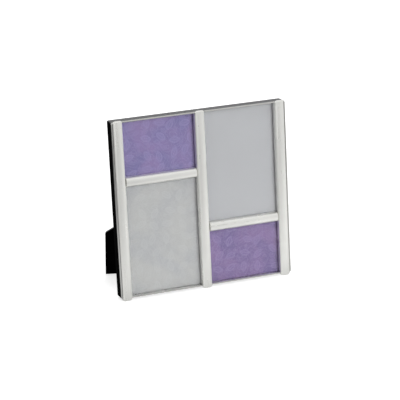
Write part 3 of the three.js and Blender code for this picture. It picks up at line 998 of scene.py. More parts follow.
@dataclass
class Finishes:
    """The finishes of this frame, each made into a material once."""

    upright_silver: Finish = Silver("satin_silver_upright", roughness=0.30, grain=Grain.UPRIGHT)
    across_silver: Finish = Silver("satin_silver_across", roughness=0.30, grain=Grain.ACROSS)
    # Darker than the bars' silver (0.62 against 0.95): painted shade for the shadow and dark reflections
    # along the rim's thin lip.
    polished_silver: Finish = Silver(
        "polished_silver",
        roughness=0.10,
        bright=(0.62, 0.62, 0.60),
        dull=(0.53, 0.53, 0.51),
        spread=0.05,
        relief=0.03,
    )
    nickel: Finish = Silver(
        "nickel_plate", roughness=0.24, bright=(0.62, 0.61, 0.58), dull=(0.45, 0.44, 0.42), relief=0.05
    )
    velvet: Finish = Velvet("black_velvet")
    glass: Finish = Glass("clear_glass")
    lilac_upper: Finish = PrintedCard("lilac_card_upper")
    lilac_lower: Finish = PrintedCard(
        "lilac_card_lower",
        ground=(0.183, 0.131, 0.315),
        blush=(0.256, 0.166, 0.361),
        leaf=(0.36, 0.28, 0.54),
        offset=(0.37, 0.21, 0.0),
    )
    grey_printed: Finish = PrintedCard(
        "grey_card_printed",
        ground=(0.463, 0.466, 0.485),
        blush=(0.520, 0.517, 0.515),
        leaf=(0.60, 0.605, 0.61),
        offset=(0.11, 0.53, 0.0),
    )
    grey_plain: Finish = PrintedCard(
        "grey_card_plain",
        ground=(0.510, 0.511, 0.535),
        blush=(0.500, 0.502, 0.525),
        strength=0.0,
        mottle=0.6,
    )
    board: Finish = Board("packing_board")
    enamel: Finish = Enamel("black_enamel")
    made: dict[str, bpy.types.Material] = field(default_factory=dict)

    def dress(self, piece: bpy.types.Object, finish: Finish) -> None:
        """Gives a piece one finish all over.

        Args:
            piece: The piece.
            finish: Its finish.
        """
        if finish.name not in self.made:
            self.made[finish.name] = finish.material()
        if piece.material_slots:
            for slot in piece.material_slots:
                slot.material = self.made[finish.name]
        else:
            piece.data.materials.append(self.made[finish.name])


@dataclass
class Assembly:
    """A sub-assembly: it models its pieces, dresses them and sets each on its body."""

    bench: Bench
    finishes: Finishes

    def hand_over(
        self,
        piece: bpy.types.Object,
        node: str,
        slot: Slot,
        finish: Finish,
        move: Matrix = STAND.frame(),
        body: Body = Body.FRAME,
    ) -> None:
        """Stands a finished piece in its place, for the node that it replaces.

        Args:
            piece: The piece, as drawn.
            node: The node's name.
            slot: The record's material slot; not used.
            finish: Its finish.
            move: The move from the drawing to its place.
            body: The body that it rides on.
        """
        self.bench.smooth(piece)
        self.bench.place(piece, move)
        self.finishes.dress(piece, finish)
        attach(piece, body.value)
        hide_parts(node)
        low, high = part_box(node)
        rows = list(zip(*(corner.co for corner in piece.data.vertices)))
        reached = [min(row) for row in rows] + [max(row) for row in rows]
        off = max(abs(a - b) for a, b in zip([*low, *high], reached)) / MM
        count = len(piece.data.polygons)
        log.info("%s: %d faces on %s, %.2f mm off its node", piece.name, count, body.value, off)


@dataclass
class Casing(Assembly):
    """The velvet-covered casing and the bright rim in its front edge."""

    width: float = 203.0
    height: float = 199.0
    depth: float = 12.6
    wall: float = 0.7
    corner: float = 1.8
    corner_flats: int = 8
    lug_width: float = 14.0
    lug_reach: float = 4.3
    lug_thickness: float = 0.8
    lug_corner: float = 0.45
    pile: float = 0.32
    lip: float = 1.5
    lip_front: float = -14.1
    lip_back: float = -12.9
    lip_round: float = 0.45
    rim_corner: float = 2.2
    skirt_wall: float = 0.5
    skirt_step: float = 0.3
    skirt_back: float = -8.84
    through: Span = (-20.0, 5.0)

    def slab(self, name: str, margin: float, radius: float, front: float, back: float) -> bpy.types.Object:
        """A block of the frame's outline with rounded corners.

        Args:
            name: The new object's name.
            margin: How far the outline is drawn in.
            radius: The corners' radius.
            front: The depth of its front.
            back: The depth of its back.

        Returns:
            The object.
        """
        half = self.width / 2 - margin
        low, high = (-half, front, margin), (half, back, self.height - margin)
        return self.bench.plate(name, low, high, radius, self.corner_flats)

    def mid_sides(self, half: float, outer: float, inner: float) -> list[tuple[Span, Span]]:
        """Oblongs at the middle of the top, bottom, left and right side.

        Args:
            half: Half their width.
            outer: Where they begin, from the frame's edge inwards.
            inner: Where they end, from the frame's edge inwards.

        Returns:
            The lowest and the highest corner of each, as x and z.
        """
        edge, tall, middle = self.width / 2, self.height, self.height / 2
        return [
            ((-half, tall - inner), (half, tall - outer)),
            ((-half, outer), (half, inner)),
            ((-edge + outer, middle - half), (-edge + inner, middle + half)),
            ((edge - inner, middle - half), (edge - outer, middle + half)),
        ]

    def build(self) -> None:
        """Models the casing and the rim."""
        self.build_casing()
        self.build_rim()

    def build_casing(self) -> None:
        """A ring with a lug at the middle of each side, its edges softened by the pile."""
        bench = self.bench
        ring = self.slab("velvet_casing", 0.0, self.corner, -self.depth, 0.0)
        bench.join(ring, Join.CUT, self.slab("room", self.wall, self.corner - self.wall, *self.through))
        reach = self.wall + self.lug_reach
        for (x0, z0), (x1, z1) in self.mid_sides(self.lug_width / 2, self.wall / 2, reach):
            low, high = (x0, -self.lug_thickness, z0), (x1, 0.0, z1)
            bench.join(ring, Join.WELD, bench.plate("lug", low, high, self.lug_corner, 3))
        bench.soften(ring, self.pile)
        self.hand_over(ring, "casing", Slot.BLACK_VELVET, self.finishes.velvet)

    def build_rim(self) -> None:
        """A rounded lip round the front, with the skirt that the pane seats on."""
        bench = self.bench
        rim = self.slab("bright_rim", 0.0, self.rim_corner, self.lip_front, self.lip_back)
        margin, front = self.lip - self.skirt_wall, self.lip_front + self.skirt_step
        skirt = self.slab("skirt", margin, self.corner - self.wall, front, self.skirt_back)
        bench.join(rim, Join.WELD, skirt)
        opening = self.slab("opening", self.lip, self.rim_corner - self.lip, *self.through)
        bench.join(rim, Join.CUT, opening)
        bench.round_rims(rim, (FRONT, self.lip_round, 4))
        self.hand_over(rim, "rim_frame", Slot.POLISHED_SILVER, self.finishes.polished_silver)


@dataclass
class SilverBars(Assembly):
    """Three uprights and two crossbars, crowned in front and rounded at the shoulders and the ends."""

    casing: Casing
    width: float = 11.7
    length: float = 202.95
    drop: float = 2.8
    crest: float = -15.74
    base: float = -9.1
    over_rim: float = -14.14
    end_back: float = -11.5
    shoulder: float = 1.8
    crown: float = 1.2
    crown_rows: tuple[float, ...] = (-0.45, -0.3, -0.15, 0.0, 0.15, 0.3, 0.45)
    corner: float = 2.8
    outer_x: float = 94.35
    cross_width: float = 10.8
    cross_length: float = 82.05
    cross_crest: float = -15.5
    cross_shoulder: float = 2.8
    cross_end: float = 1.0
    flat_rows: tuple[float, ...] = (0.0, 0.35, 0.7, 1.0)
    shoulder_turn: int = 9
    end_turn: int = 18
    low_z: float = 66.7
    high_z: float = 130.8
    spigot_radius: float = 1.5
    spigot_length: float = 2.6
    spigot_depth: float = -11.5
    spigot_root: float = 6.0
    spigot_round: float = 0.3
    spigot_sides: int = 40
    gap: float = 0.3
    past: float = 5.0

    def crowned(self, piece: bpy.types.Object, crest: float, fall: Callable[[float], float]) -> None:
        """Lets the front of a bar that is open in edit mode fall away from its middle line.

        Args:
            piece: The bar, standing on z = 0 with its front towards -y.
            crest: The depth of its front.
            fall: How far the front falls back, by the distance from the middle line.
        """
        mesh = bmesh.from_edit_mesh(piece.data)
        rows = sorted({round(abs(v.co.x), 3) for v in mesh.verts if v.co.y < crest + NEAR})
        for row in rows[1:]:
            self.bench.shift(
                piece,
                lambda place, way: place.y < crest + NEAR and abs(abs(place.x) - row) < NEAR,
                (0.0, fall(row), 0.0),
            )

    def upright_blank(self, name: str) -> bpy.types.Object:
        """Shapes an upright on z = 0: crowned, with round corners and rounded shoulders.

        Args:
            name: The new object's name.

        Returns:
            The object.
        """
        bench, half = self.bench, self.width / 2
        piece = bench.block(name, (-half, self.crest, 0.0), (half, self.base, self.length))
        with bench.editing(piece):
            bench.round_edges(piece, runs_through, self.corner, 8)
            for share in self.crown_rows:
                bench.slice((share * half, 0, 0), RIGHT)
            self.crowned(piece, self.crest, lambda row: self.crown * (row / half) ** 2)
            bench.round_rim(piece, FRONT, self.shoulder, 8)
        return piece

    def crossbar_blank(self, name: str) -> bpy.types.Object:
        """Shapes a crossbar on z = 0: crowned, with broad round shoulders and eased ends.

        Args:
            name: The new object's name.

        Returns:
            The object.
        """
        bench, half, turn = self.bench, self.cross_width / 2, self.cross_shoulder
        flat = half - turn

        def fall(row: float) -> float:
            """The crown's fall, and past the flat the shoulder's."""
            past = min(max(row - flat, 0.0), turn)
            return self.crown * (row / half) ** 2 + turn - math.sqrt(turn**2 - past**2)

        angles = [math.radians(angle) for angle in range(self.shoulder_turn, 90, self.shoulder_turn)]
        places = [flat * share for share in self.flat_rows] + [flat + turn * math.sin(a) for a in angles]
        piece = bench.block(name, (-half, self.cross_crest, 0.0), (half, self.base, self.cross_length))
        with bench.editing(piece):
            for place in sorted({sign * place for place in places for sign in (-1, 1)}):
                bench.slice((place, 0, 0), RIGHT)
            self.crowned(piece, self.cross_crest, fall)
            self.ease_ends(piece)
        return piece

    def ease_ends(self, piece: bpy.types.Object) -> None:
        """Rounds both ends of a crossbar that is open in edit mode, ring by ring.

        Args:
            piece: The crossbar, standing on z = 0.
        """
        bench, half, height = self.bench, self.cross_width / 2, self.base - self.cross_crest
        turns = [math.radians(angle) for angle in range(0, 90, self.end_turn)]
        for end, inward in ((0.0, 1), (self.cross_length, -1)):
            bench.slice((0, 0, end + inward * self.cross_end), UP)
            for turn in turns[1:]:
                bench.slice((0, 0, end + inward * self.cross_end * (1 - math.cos(turn))), UP)
            for turn in turns:
                ring = end + inward * self.cross_end * (1 - math.cos(turn))
                inset = self.cross_end * (1 - math.sin(turn))
                bench.widen(
                    piece,
                    lambda place, way: abs(place.z - ring) < NEAR,
                    ((half - inset) / half, (height - inset) / height, 1),
                    (0, self.base, 0),
                )

    def build(self) -> None:
        """Models the uprights and the crossbars."""
        half, edge = self.width / 2, self.casing.width / 2
        self.build_upright("left_bar", -self.outer_x, [(half, self.high_z)], -edge)
        self.build_upright("centre_bar", 0.0, [(-half, self.high_z), (half, self.low_z)], None)
        self.build_upright("right_bar", self.outer_x, [(-half, self.low_z)], edge)
        self.build_crossbar("upper_crossbar", -self.outer_x / 2, self.high_z)
        self.build_crossbar("lower_crossbar", self.outer_x / 2, self.low_z)

    def build_upright(self, node: str, x: float, holes: list[Span], edge: float | None) -> None:
        """An upright, cut to lie over the rim, with holes for the crossbars' spigots.

        Args:
            node: The node that it replaces.
            x: Its middle.
            holes: The flank and the height of each spigot hole.
            edge: The side of the frame that it lies along, if any.
        """
        bench, past = self.bench, self.past
        piece = self.upright_blank("silver_" + node)
        bench.place(piece, Matrix.Translation((x, 0.0, -self.drop)))
        inside, low = self.casing.lip + self.gap, -self.gap
        head, left, right = self.casing.height - inside, x - self.width, x + self.width
        # The rooms reach well past the bar. Those that meet differ in depth, so that no faces coincide.
        rooms = []
        if edge is not None:
            x0, x1 = sorted((edge + math.copysign(past, edge), edge - math.copysign(inside, edge)))
            rooms.append(bench.block("beside", (x0, self.over_rim + 0.02, 0.5), (x1, 9.0, 260.0)))
        rooms += [
            bench.block("over_foot", (left, self.over_rim, low), (right, past, inside)),
            bench.block("behind_foot", (left, self.end_back, -9.0), (right, past + 0.5, low + 0.1)),
            bench.block("behind_head", (left, self.over_rim, head), (right, past, 210.0)),
        ]
        bench.join(piece, Join.CUT, *rooms)
        radius, reach = self.spigot_radius + self.gap, self.spigot_length
        for flank, height in holes:
            ends = [(x + flank + sign * reach, self.spigot_depth, height) for sign in (-1, 1)]
            bench.drill(piece, *ends, radius, self.spigot_sides)
        bench.clean(piece)
        self.hand_over(piece, node, Slot.SATIN_SILVER, self.finishes.upright_silver)

    def build_crossbar(self, node: str, x: float, z: float) -> None:
        """A crossbar with a spigot at both ends.

        Args:
            node: The node that it replaces.
            x: Its middle.
            z: Its height.
        """
        bench, half = self.bench, self.cross_length / 2
        piece = self.crossbar_blank("silver_" + node)
        lying = Matrix.Translation((x, 0.0, z)) @ Matrix.Rotation(math.pi / 2, 4, "Y")
        bench.place(piece, lying @ Matrix.Translation((0, 0, -half)))
        for sign in (-1, 1):
            tip = (x + sign * (half + self.spigot_length), self.spigot_depth, z)
            root = (x + sign * (half - self.spigot_root), self.spigot_depth, z)
            spigot = bench.rod("spigot", root, tip, self.spigot_radius, self.spigot_sides)
            bench.round_rims(spigot, ((sign, 0, 0), self.spigot_round, 3))
            bench.join(piece, Join.WELD, spigot)
        bench.clean(piece)
        self.hand_over(piece, node, Slot.SATIN_SILVER, self.finishes.across_silver)


@dataclass
class BackPanel(Assembly):
    """The velvet-covered panel, its turn buttons and their slotted screws."""

    casing: Casing
    margin: float = 1.0
    front: float = -4.5
    back: float = -2.5
    gap: float = 0.3
    pile: float = 0.3
    notch_corner: float = 0.8
    edge: float = 11.0
    button_length: float = 17.0
    button_width: float = 7.0
    button_waist: float = 5.0
    button_front: float = -2.2
    button_back: float = -1.4
    button_round: float = 0.28
    wing_flat: float = 0.01
    break_edge: float = 0.12
    screw_radius: float = 1.2
    tip_round: float = 0.5
    head_radius: float = 2.6
    head_height: float = 1.3
    head_round: float = 0.75
    slot_width: float = 0.7
    slot_depth: float = 0.6
    slot_turn: float = 30.0
    slot_past: float = 1.0
    overlap: float = 0.2
    past: float = 5.0
    through: Span = (-9.0, 5.0)

    def places(self) -> list[tuple[str, Body, float, float, float]]:
        """Where the buttons sit.

        Returns:
            The side, body, x, z and turn of each button.
        """
        half, tall = self.casing.width / 2, self.casing.height
        return [
            ("top", Body.BUTTON_TOP, 0.0, tall - self.edge, 0.0),
            ("bottom", Body.BUTTON_BOTTOM, 0.0, self.edge, 0.0),
            ("left", Body.BUTTON_LEFT, -half + self.edge, tall / 2, 90.0),
            ("right", Body.BUTTON_RIGHT, half - self.edge, tall / 2, 90.0),
        ]

    def build(self) -> None:
        """Models the panel, the buttons and the screws."""
        self.build_panel()
        button, screw = self.shape_button(), self.shape_screw()
        for side, body, x, z, turn in self.places():
            there = STAND.frame() @ Matrix.Translation((x, 0.0, z))
            for master, kind, rider, angle in (
                (button, "turn_button_", body, turn),
                (screw, "button_screw_", Body.FRAME, turn + self.slot_turn),
            ):
                turned = there @ Matrix.Rotation(math.radians(angle), 4, "Y")
                copy = self.bench.twin(master, "nickel_" + kind + side)
                self.hand_over(copy, kind + side, Slot.BRIGHT_STEEL, self.finishes.nickel, turned, rider)
        for master in (button, screw):
            bpy.data.meshes.remove(master.data)

    def build_panel(self) -> None:
        """The panel, notched for the lugs and holed for screws and rivets."""
        bench, casing, (front, back) = self.bench, self.casing, self.through
        corner = casing.corner - self.margin
        panel = casing.slab("velvet_back_panel", self.margin, corner, self.front, self.back)
        half, reach = casing.lug_width / 2 + self.gap, casing.wall + casing.lug_reach + self.gap
        for (x0, z0), (x1, z1) in casing.mid_sides(half, -self.past, reach):
            notch = bench.plate("notch", (x0, front, z0), (x1, back, z1), self.notch_corner, 3)
            bench.join(panel, Join.CUT, notch)
        bench.soften(panel, self.pile)
        holes = [(x, z, self.screw_radius) for _, _, x, z, _ in self.places()]
        for across in RIVETS.sides:
            x = STAND.hinge[0] + (across + RIVETS.station) * math.cos(STAND.diagonal)
            z = STAND.hinge[2] + (RIVETS.station - across) * math.sin(STAND.diagonal)
            holes.append((x, z, RIVETS.radius))
        for x, z, radius in holes:
            bench.drill(panel, (x, front, z), (x, back, z), radius + self.gap)
        self.hand_over(panel, "back_panel", Slot.BLACK_VELVET, self.finishes.velvet)

    def shape_button(self) -> bpy.types.Object:
        """A double-ended button about the origin: two round wings, a narrow waist and a hole.

        Returns:
            The object.
        """
        bench, half, wing = self.bench, self.button_length / 2, self.button_width / 2
        button = bench.block("button", (-wing, self.button_front, -half), (wing, self.button_back, half))
        neck, waist = self.button_length / 6, self.button_waist / self.button_width
        rows = [neck * step / 4 for step in range(-4, 5)]
        with bench.editing(button):
            bench.round_edges(button, runs_through, wing - self.wing_flat, 8)
            for row in rows:
                bench.slice((0, 0, row), UP)
            for row in rows[1:-1]:
                share = waist + (1 - waist) * (0.5 + 0.5 * (row / neck) ** 2)
                bench.widen(button, lambda place, way: abs(place.z - row) < NEAR, (share, 1, 1))
            bench.round_rim(button, BACK, self.button_round, 3)
            bench.round_rim(button, FRONT, self.break_edge, 2)
        ends = [(0, depth, 0) for depth in self.through]
        bench.drill(button, *ends, self.screw_radius + self.gap, 32)
        return button

    def shape_screw(self) -> bpy.types.Object:
        """A slotted pan-head screw about the y axis.

        Returns:
            The object.
        """
        bench = self.bench
        tip, low = self.front + self.gap, self.button_back + self.gap
        top = low + self.head_height
        screw = bench.rod("screw", (0, low, 0), (0, top, 0), self.head_radius)
        bench.round_rims(screw, (BACK, self.head_round, 6), (FRONT, self.break_edge, 2))
        shank = bench.rod("shank", (0, tip, 0), (0, low + self.overlap, 0), self.screw_radius)
        bench.round_rims(shank, (FRONT, self.tip_round, 2))
        bench.join(screw, Join.WELD, shank)
        reach, half, above = self.head_radius + self.slot_past, self.slot_width / 2, top + self.slot_past
        slot = bench.block("slot", (-reach, top - self.slot_depth, -half), (reach, above, half))
        bench.join(screw, Join.CUT, slot)
        return screw


@dataclass
class EaselLeg(Assembly):
    """The velvet-covered leg and its hinge: two leaves, three knuckles, a pin and four rivets."""

    reach: float = 168.0
    foot_edge: float = 54.7
    neck_width: float = 22.0
    setback: float = 4.0
    corner: float = 2.0
    point: float = 0.8
    front: float = -0.2
    back: float = 2.8
    span: float = 20.0
    middle_knuckle: float = 7.6
    spacing: float = 0.4
    knuckle: float = 2.0
    pin_radius: float = 0.9
    pin_overhang: float = 0.8
    leaf_length: float = 16.0
    leaf_thickness: float = 0.8
    leaf_corner: float = 2.0
    fixed_leaf_front: float = -2.7
    moving_leaf_front: float = -1.3
    heel_length: float = 6.0
    heel_front: float = -1.6
    panel_tail: float = -4.7
    board_round: float = 0.7
    leaf_round: float = 0.15
    heel_round: float = 0.2
    pin_round: float = 0.4
    rivet_head: float = 2.2
    rivet_rise: float = 0.9
    rivet_dome: float = 0.9
    gap: float = 0.3
    overlap: float = 0.2
    through: Span = (-9.0, 9.0)

    def build(self) -> None:
        """Models the leg, the hinge and the rivets."""
        self.build_board()
        self.build_fixed_leaf()
        self.build_moving_leaf()
        self.build_pin()
        self.build_rivets()

    def build_board(self) -> None:
        """The leg's board: a square foot corner, a taper to the neck and soft edges."""
        bench = self.bench
        foot = self.foot_edge * math.cos(STAND.diagonal)
        neck, top, shoulder = self.neck_width / 2, -self.setback, self.reach - foot
        ends = [(0.0, -self.reach), (foot, -shoulder), (neck, top), (-neck, top), (-foot, -shoulder)]
        bench.free()
        upright = (math.pi / 2, 0, 0)
        bpy.ops.mesh.primitive_circle_add(vertices=len(ends), radius=1.0, fill_type="NGON", rotation=upright)
        board = bench.started("velvet_easel_leg")
        starts = [v.co.copy() for v in board.data.vertices]
        turning = sum(a.x * b.z - b.x * a.z for a, b in zip(starts, starts[1:] + starts[:1]))
        wanted = ends if turning > 0 else ends[::-1]
        with bench.editing(board):
            for start, (x, z) in zip(starts, wanted):
                step = (x - start.x, self.front - start.y, z - start.z)
                bench.shift(board, lambda place, way: (place - start).length < NEAR, step)
            bpy.ops.mesh.select_all(action="SELECT")
            bpy.ops.mesh.extrude_region_move(TRANSFORM_OT_translate={"value": (0, self.back - self.front, 0)})
            bpy.ops.mesh.select_all(action="SELECT")
            bpy.ops.mesh.normals_make_consistent(inside=False)
            bench.round_edges(board, self.upright_at(ends[0]), self.point, 3)
            for end in (ends[1], ends[4]):
                bench.round_edges(board, self.upright_at(end), self.corner, 6)
            for end in (ends[2], ends[3]):
                bench.round_edges(board, self.upright_at(end), self.leaf_corner, 5)
            for look in (BACK, FRONT):
                bench.round_rim(board, look, self.board_round, 4)
        self.drill_rivets(board, self.through, -RIVETS.station)
        self.hand_over(board, "easel_leg", Slot.BLACK_VELVET, self.finishes.velvet, STAND.leg(), Body.LEG)

    @staticmethod
    def upright_at(end: Span) -> Pick:
        """A pick of the edge across the board at one corner of its outline."""
        corner = Vector((end[0], 0.0, end[1]))
        return lambda place, way: runs_through(place, way) and (place - corner).xz.length < AT_CORNER

    def drill_rivets(self, piece: bpy.types.Object, through: Span, station: float) -> None:
        """Drills the two rivet holes of a piece drawn about the hinge.

        Args:
            piece: The piece.
            through: The depths between which it is drilled.
            station: The place of the holes along the leg.
        """
        for across in RIVETS.sides:
            ends = [(across, depth, station) for depth in through]
            self.bench.drill(piece, *ends, RIVETS.radius + self.gap)

    def bore(self, piece: bpy.types.Object, end: float) -> None:
        """Bores a piece along the hinge's axis, from one end to the other, for the pin."""
        self.bench.drill(piece, (-end, 0, 0), (end, 0, 0), self.pin_radius + self.gap, 32)

    def leaf(self, name: str, front: float, spans: list[Span], cuts: list[Span]) -> bpy.types.Object:
        """A hinge leaf about the axis at the origin, reaching along +z.

        Args:
            name: The new object's name.
            front: The depth of its front.
            spans: Where its knuckles are, across it.
            cuts: Where it makes room for the other leaf's knuckles.

        Returns:
            The object.
        """
        bench, half, back = self.bench, self.span / 2, front + self.leaf_thickness
        leaf = bench.block(name, (-half, front, 0.0), (half, back, self.leaf_length))
        with bench.editing(leaf):
            free = self.leaf_length / 2
            bench.round_edges(
                leaf, lambda place, way: runs_through(place, way) and place.z > free, self.leaf_corner, 6
            )
            bench.round_rim(leaf, BACK, self.leaf_round, 2)
        clear = self.knuckle + 2 * self.gap
        for x0, x1 in cuts:
            room = bench.block("room", (x0, front - 1, -clear), (x1, self.knuckle, clear))
            bench.join(leaf, Join.CUT, room)
        for x0, x1 in spans:
            roll = bench.rod("roll", (x0, 0, 0), (x1, 0, 0), self.knuckle)
            bench.round_rims(roll, (RIGHT, self.leaf_round, 2), (LEFT, self.leaf_round, 2))
            bench.join(leaf, Join.WELD, roll)
        self.bore(leaf, half + 1)
        self.drill_rivets(leaf, (front - 1, back + 1), RIVETS.station)
        return leaf

    def build_fixed_leaf(self) -> None:
        """The leaf on the panel, with the two outer knuckles."""
        half, outer = self.span / 2, self.middle_knuckle / 2 + self.spacing
        spans = [(-half, -outer), (outer, half)]
        leaf = self.leaf("enamel_fixed_leaf", self.fixed_leaf_front, spans, [(-outer, outer)])
        there = STAND.fixed_hinge()
        self.hand_over(leaf, "hinge_fixed_leaf", Slot.BLACK_STEEL, self.finishes.enamel, there)

    def build_moving_leaf(self) -> None:
        """The leaf under the leg, with the middle knuckle and the heel that stops the opening."""
        bench, half, middle = self.bench, self.span / 2, self.middle_knuckle / 2
        cuts = [(-half - 1, -middle), (middle, half + 1)]
        leaf = self.leaf("enamel_moving_leaf", self.moving_leaf_front, [(-middle, middle)], cuts)
        bench.place(leaf, Matrix.Rotation(math.pi, 4, "Y"))
        inner, heel_back = middle - self.gap, self.heel_front + self.leaf_thickness
        heel = bench.block("heel", (-inner, self.heel_front, 0.0), (inner, heel_back, self.heel_length))
        bench.round_rims(heel, (UP, self.heel_round, 2))
        bench.place(heel, Matrix.Rotation(-STAND.opening, 4, "X"))
        bench.join(leaf, Join.WELD, heel)
        self.bore(leaf, half)
        there = STAND.leg()
        self.hand_over(leaf, "hinge_moving_leaf", Slot.BLACK_STEEL, self.finishes.enamel, there, Body.LEG)

    def build_pin(self) -> None:
        """The hinge pin, peened at both ends."""
        bench, end = self.bench, self.span / 2 + self.pin_overhang
        pin = bench.rod("nickel_hinge_pin", (-end, 0, 0), (end, 0, 0), self.pin_radius, 32)
        bench.round_rims(pin, (RIGHT, self.pin_round, 4), (LEFT, self.pin_round, 4))
        self.hand_over(pin, "hinge_pin", Slot.BRIGHT_STEEL, self.finishes.nickel, STAND.fixed_hinge())

    def dome(self, name: str, low: float, look: Triple) -> bpy.types.Object:
        """A rivet's round head about the y axis.

        Args:
            name: The new object's name.
            low: The depth of its front.
            look: The direction of its round side.

        Returns:
            The object.
        """
        head = self.bench.rod(name, (0, low, 0), (0, low + self.rivet_rise, 0), self.rivet_head, 36)
        self.bench.round_rims(head, (look, self.rivet_rise * self.rivet_dome, 7))
        return head

    def rivet(self, name: str, front: float, back: float, clinched: bool) -> bpy.types.Object:
        """A round-headed rivet about the y axis.

        Args:
            name: The new object's name.
            front: The depth of its shank's front.
            back: The depth at which its head begins.
            clinched: Whether it has a second head in front.

        Returns:
            The object.
        """
        bench = self.bench
        rivet = self.dome(name, back, BACK)
        shank = bench.rod("shank", (0, front, 0), (0, back + self.overlap, 0), RIVETS.radius, 24)
        bench.join(rivet, Join.WELD, shank)
        if clinched:
            bench.join(rivet, Join.WELD, self.dome("clinch", front - self.rivet_rise, FRONT))
        return rivet

    def build_rivets(self) -> None:
        """Two rivets through the panel and two through the leg."""
        seat = self.fixed_leaf_front + self.leaf_thickness + self.gap
        tail = self.moving_leaf_front - self.gap
        steel, nickel = Slot.BRIGHT_STEEL, self.finishes.nickel
        for index, across in enumerate(RIVETS.sides, 1):
            rivet = self.rivet(f"nickel_panel_rivet_{index}", self.panel_tail, seat, False)
            there = STAND.fixed_hinge() @ Matrix.Translation((across, 0.0, RIVETS.station))
            self.hand_over(rivet, f"panel_rivet_{index}", steel, nickel, there)
            rivet = self.rivet(f"nickel_leg_rivet_{index}", tail, self.back + self.gap, True)
            there = STAND.leg() @ Matrix.Translation((across, 0.0, -RIVETS.station))
            self.hand_over(rivet, f"leg_rivet_{index}", steel, nickel, there, Body.LEG)


@dataclass
class Infill(Assembly):
    """The pane, the four insert cards and the packing board, which keep their shapes."""

    def build(self) -> None:
        """Dresses the pane, the cards and the board."""
        finishes = self.finishes
        worn = {
            "glass_pane": finishes.glass,
            "card_upper_left": finishes.lilac_upper,
            "card_lower_left": finishes.grey_printed,
            "card_upper_right": finishes.grey_plain,
            "card_lower_right": finishes.lilac_lower,
            "packing_card": finishes.board,
        }
        for node, finish in worn.items():
            finishes.dress(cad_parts[node], finish)
            log.info("%s: dressed in %s", node, finish.name)


@dataclass(frozen=True)
class Lamp:
    """A square soft lamp: where it hangs, the length of its side, its power and what it points at."""

    name: str
    place: Triple
    size: float
    power: float
    target: Triple = (0.0, 0.0, 0.1)

    def hang(self) -> None:
        """Adds the lamp, which metal doesn't mirror."""
        lamp = bpy.data.lights.new(self.name, "AREA")
        lamp.size = self.size
        lamp.energy = self.power
        holder = bpy.data.objects.new(self.name, lamp)
        bpy.context.scene.collection.objects.link(holder)
        holder.visible_glossy = False
        holder.location = self.place
        way = Vector(self.target) - Vector(self.place)
        holder.rotation_euler = way.to_track_quat("-Z", "Y").to_euler()


@dataclass(frozen=True)
class FloorGlow:
    """How bright the lit floor looks in the metal: bright near the frame and to the right, dim behind, with a
    painted contact shadow just in front of the frame's foot.

    Each step says where on the floor it begins and ends, in metres, and its value before and after.
    """

    ahead: Step = (0.2, 1.15, 0.76, 0.4)
    aside: Step = (-0.14, 0.18, -0.04, 0.2)
    aside_slant: float = -0.3
    behind: Step = (0.0, 0.5, 1.0, 0.12)
    behind_slant: float = -0.6
    left: Step = (-0.8, -0.3, 0.3, 1.0)
    # Painted contact shadow: the floor just in front of the frame looks darker in the metal.
    foot: Step = (0.05, 0.11, 0.8, 1.0)
    under: Span = (-0.03, 0.0)

    def brightness(self, graph: Graph) -> bpy.types.NodeSocket:
        """Adds the glow's nodes.

        Args:
            graph: The floor's graph.

        Returns:
            The brightness.
        """
        place = graph.split(graph.node("TexCoord").outputs["Object"])
        ahead = graph.math("MULTIPLY", place["Y"], -1.0)
        slanted = graph.math("MULTIPLY_ADD", graph.math("ABSOLUTE", ahead), self.aside_slant, place["X"])
        names = ("From Min", "From Max", "To Min", "To Max")
        slope = graph.node("MapRange", {"Value": slanted, **dict(zip(names, self.aside))})
        front = graph.math("ADD", graph.band(ahead, *self.ahead), slope.outputs[0])
        right = graph.math("MAXIMUM", place["X"], 0.0)
        passed = graph.math("MULTIPLY_ADD", right, self.behind_slant, place["Y"])
        lit = graph.math("MULTIPLY", front, graph.band(passed, *self.behind))
        lit = graph.math("MULTIPLY", lit, graph.band(place["X"], *self.left))
        # The painted contact shadow, lifted again from under the frame's front edge backwards.
        near = graph.math("MAXIMUM", graph.band(ahead, *self.foot), graph.band(place["Y"], *self.under))
        return graph.math("MULTIPLY", lit, near)


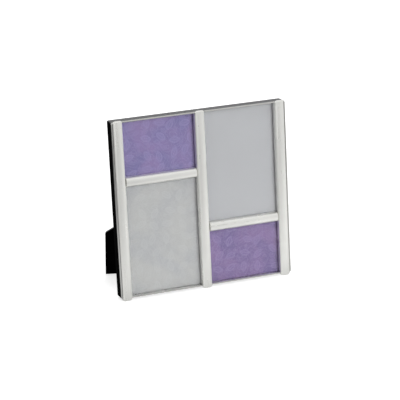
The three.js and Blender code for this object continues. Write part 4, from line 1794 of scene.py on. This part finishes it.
@dataclass
class Studio:
    """The pale floor, the soft light and the camera."""

    camera_place: Triple = (-0.69499, -1.80679, 0.88894)
    azimuth: float = math.radians(-21.1935)
    elevation: float = math.radians(22.3889)
    lens: float = 168.915
    sensor: float = 36.0
    world_light: float = 0.45
    floor_radius: float = 6.0
    floor_light: float = 0.7
    floor_colour: Triple = (0.80, 0.80, 0.80)
    floor_roughness: float = 0.9
    horizon: float = 0.79
    ceiling: float = 0.86
    sky: Span = (0.25, 0.75)
    glow: FloorGlow = FloorGlow()
    lamps: tuple[Lamp, ...] = (
        Lamp("key_light", (0.5, -2.0, 0.85), 1.4, 15.0),
        Lamp("top_light", (0.35, 0.75, 1.5), 0.9, 9.0),
    )

    def build(self) -> None:
        """Sets the floor, the world, the lamps, the camera and the plain view."""
        bpy.context.scene.view_settings.view_transform = "Standard"
        self.build_floor()
        self.build_world()
        for lamp in self.lamps:
            lamp.hang()
        self.build_camera()

    @staticmethod
    def seen_rays(graph: Graph) -> bpy.types.NodeSocket:
        """Tells the rays that show the background: from the camera, off metal or through glass.

        Args:
            graph: The graph of the floor or the world.

        Returns:
            One for such a ray, or else zero.
        """
        way = graph.node("LightPath")
        shown = graph.math("MAXIMUM", way.outputs["Is Camera Ray"], way.outputs["Is Glossy Ray"])
        return graph.math("MAXIMUM", shown, way.outputs["Is Transmission Ray"])

    def build_floor(self) -> None:
        """A wide pale floor that reads white and keeps a soft shadow."""
        bench = Bench()
        bench.free()
        bpy.ops.mesh.primitive_circle_add(vertices=96, radius=self.floor_radius, fill_type="NGON")
        floor = bench.started("pale_floor")
        made = bpy.data.materials.new("pale_floor")
        made.use_nodes = True
        graph = Graph(made.node_tree)
        shader = made.node_tree.nodes["Principled BSDF"]
        shader.inputs["Roughness"].default_value = self.floor_roughness
        shader.inputs["Specular IOR Level"].default_value = 0.0
        graph.put(shader.inputs["Emission Color"], (1.0, 1.0, 1.0))
        mirrored = graph.node("LightPath").outputs["Is Glossy Ray"]
        graph.put(shader.inputs["Base Color"], graph.blend(mirrored, self.floor_colour, (0.0, 0.0, 0.0)))
        plain = graph.math("MULTIPLY", self.seen_rays(graph), self.floor_light)
        lift = graph.blend(mirrored, plain, self.glow.brightness(graph), colours=False)
        graph.put(shader.inputs["Emission Strength"], lift)
        floor.data.materials.append(made)

    def build_world(self) -> None:
        """An even pale surround: white where it is seen, softer as light."""
        world = bpy.data.worlds.new("pale_surround")
        world.use_nodes = True
        bpy.context.scene.world = world
        graph = Graph(world.node_tree)
        surround = world.node_tree.nodes["Background"]
        graph.put(surround.inputs["Color"], (1.0, 1.0, 1.0))
        seen = graph.band(self.seen_rays(graph), 0.0, 1.0, self.world_light, 1.0)
        mirrored = graph.node("LightPath").outputs["Is Glossy Ray"]
        height = graph.split(graph.node("TexCoord").outputs["Generated"])["Z"]
        sky = graph.band(height, *self.sky, self.horizon, self.ceiling)
        graph.put(surround.inputs["Strength"], graph.blend(mirrored, seen, sky, colours=False))

    def build_camera(self) -> None:
        """The camera at the photograph's angle."""
        data = bpy.data.cameras.new("portrait")
        data.lens = self.lens
        data.sensor_width = self.sensor
        camera = bpy.data.objects.new("portrait", data)
        bpy.context.scene.collection.objects.link(camera)
        camera.location = self.camera_place
        camera.rotation_euler = Euler((math.pi / 2 - self.elevation, 0.0, self.azimuth), "XYZ")
        bpy.context.scene.camera = camera


def main() -> None:
    """Builds the frame's sub-assemblies in order, then the studio."""
    logging.basicConfig(level=logging.INFO, format="%(name)s %(message)s")
    bench, finishes = Bench(), Finishes()
    casing = Casing(bench, finishes)
    casing.build()
    SilverBars(bench, finishes, casing).build()
    BackPanel(bench, finishes, casing).build()
    EaselLeg(bench, finishes).build()
    Infill(bench, finishes).build()
    bench.free()
    Studio().build()


if __name__ == "__main__":
    main()
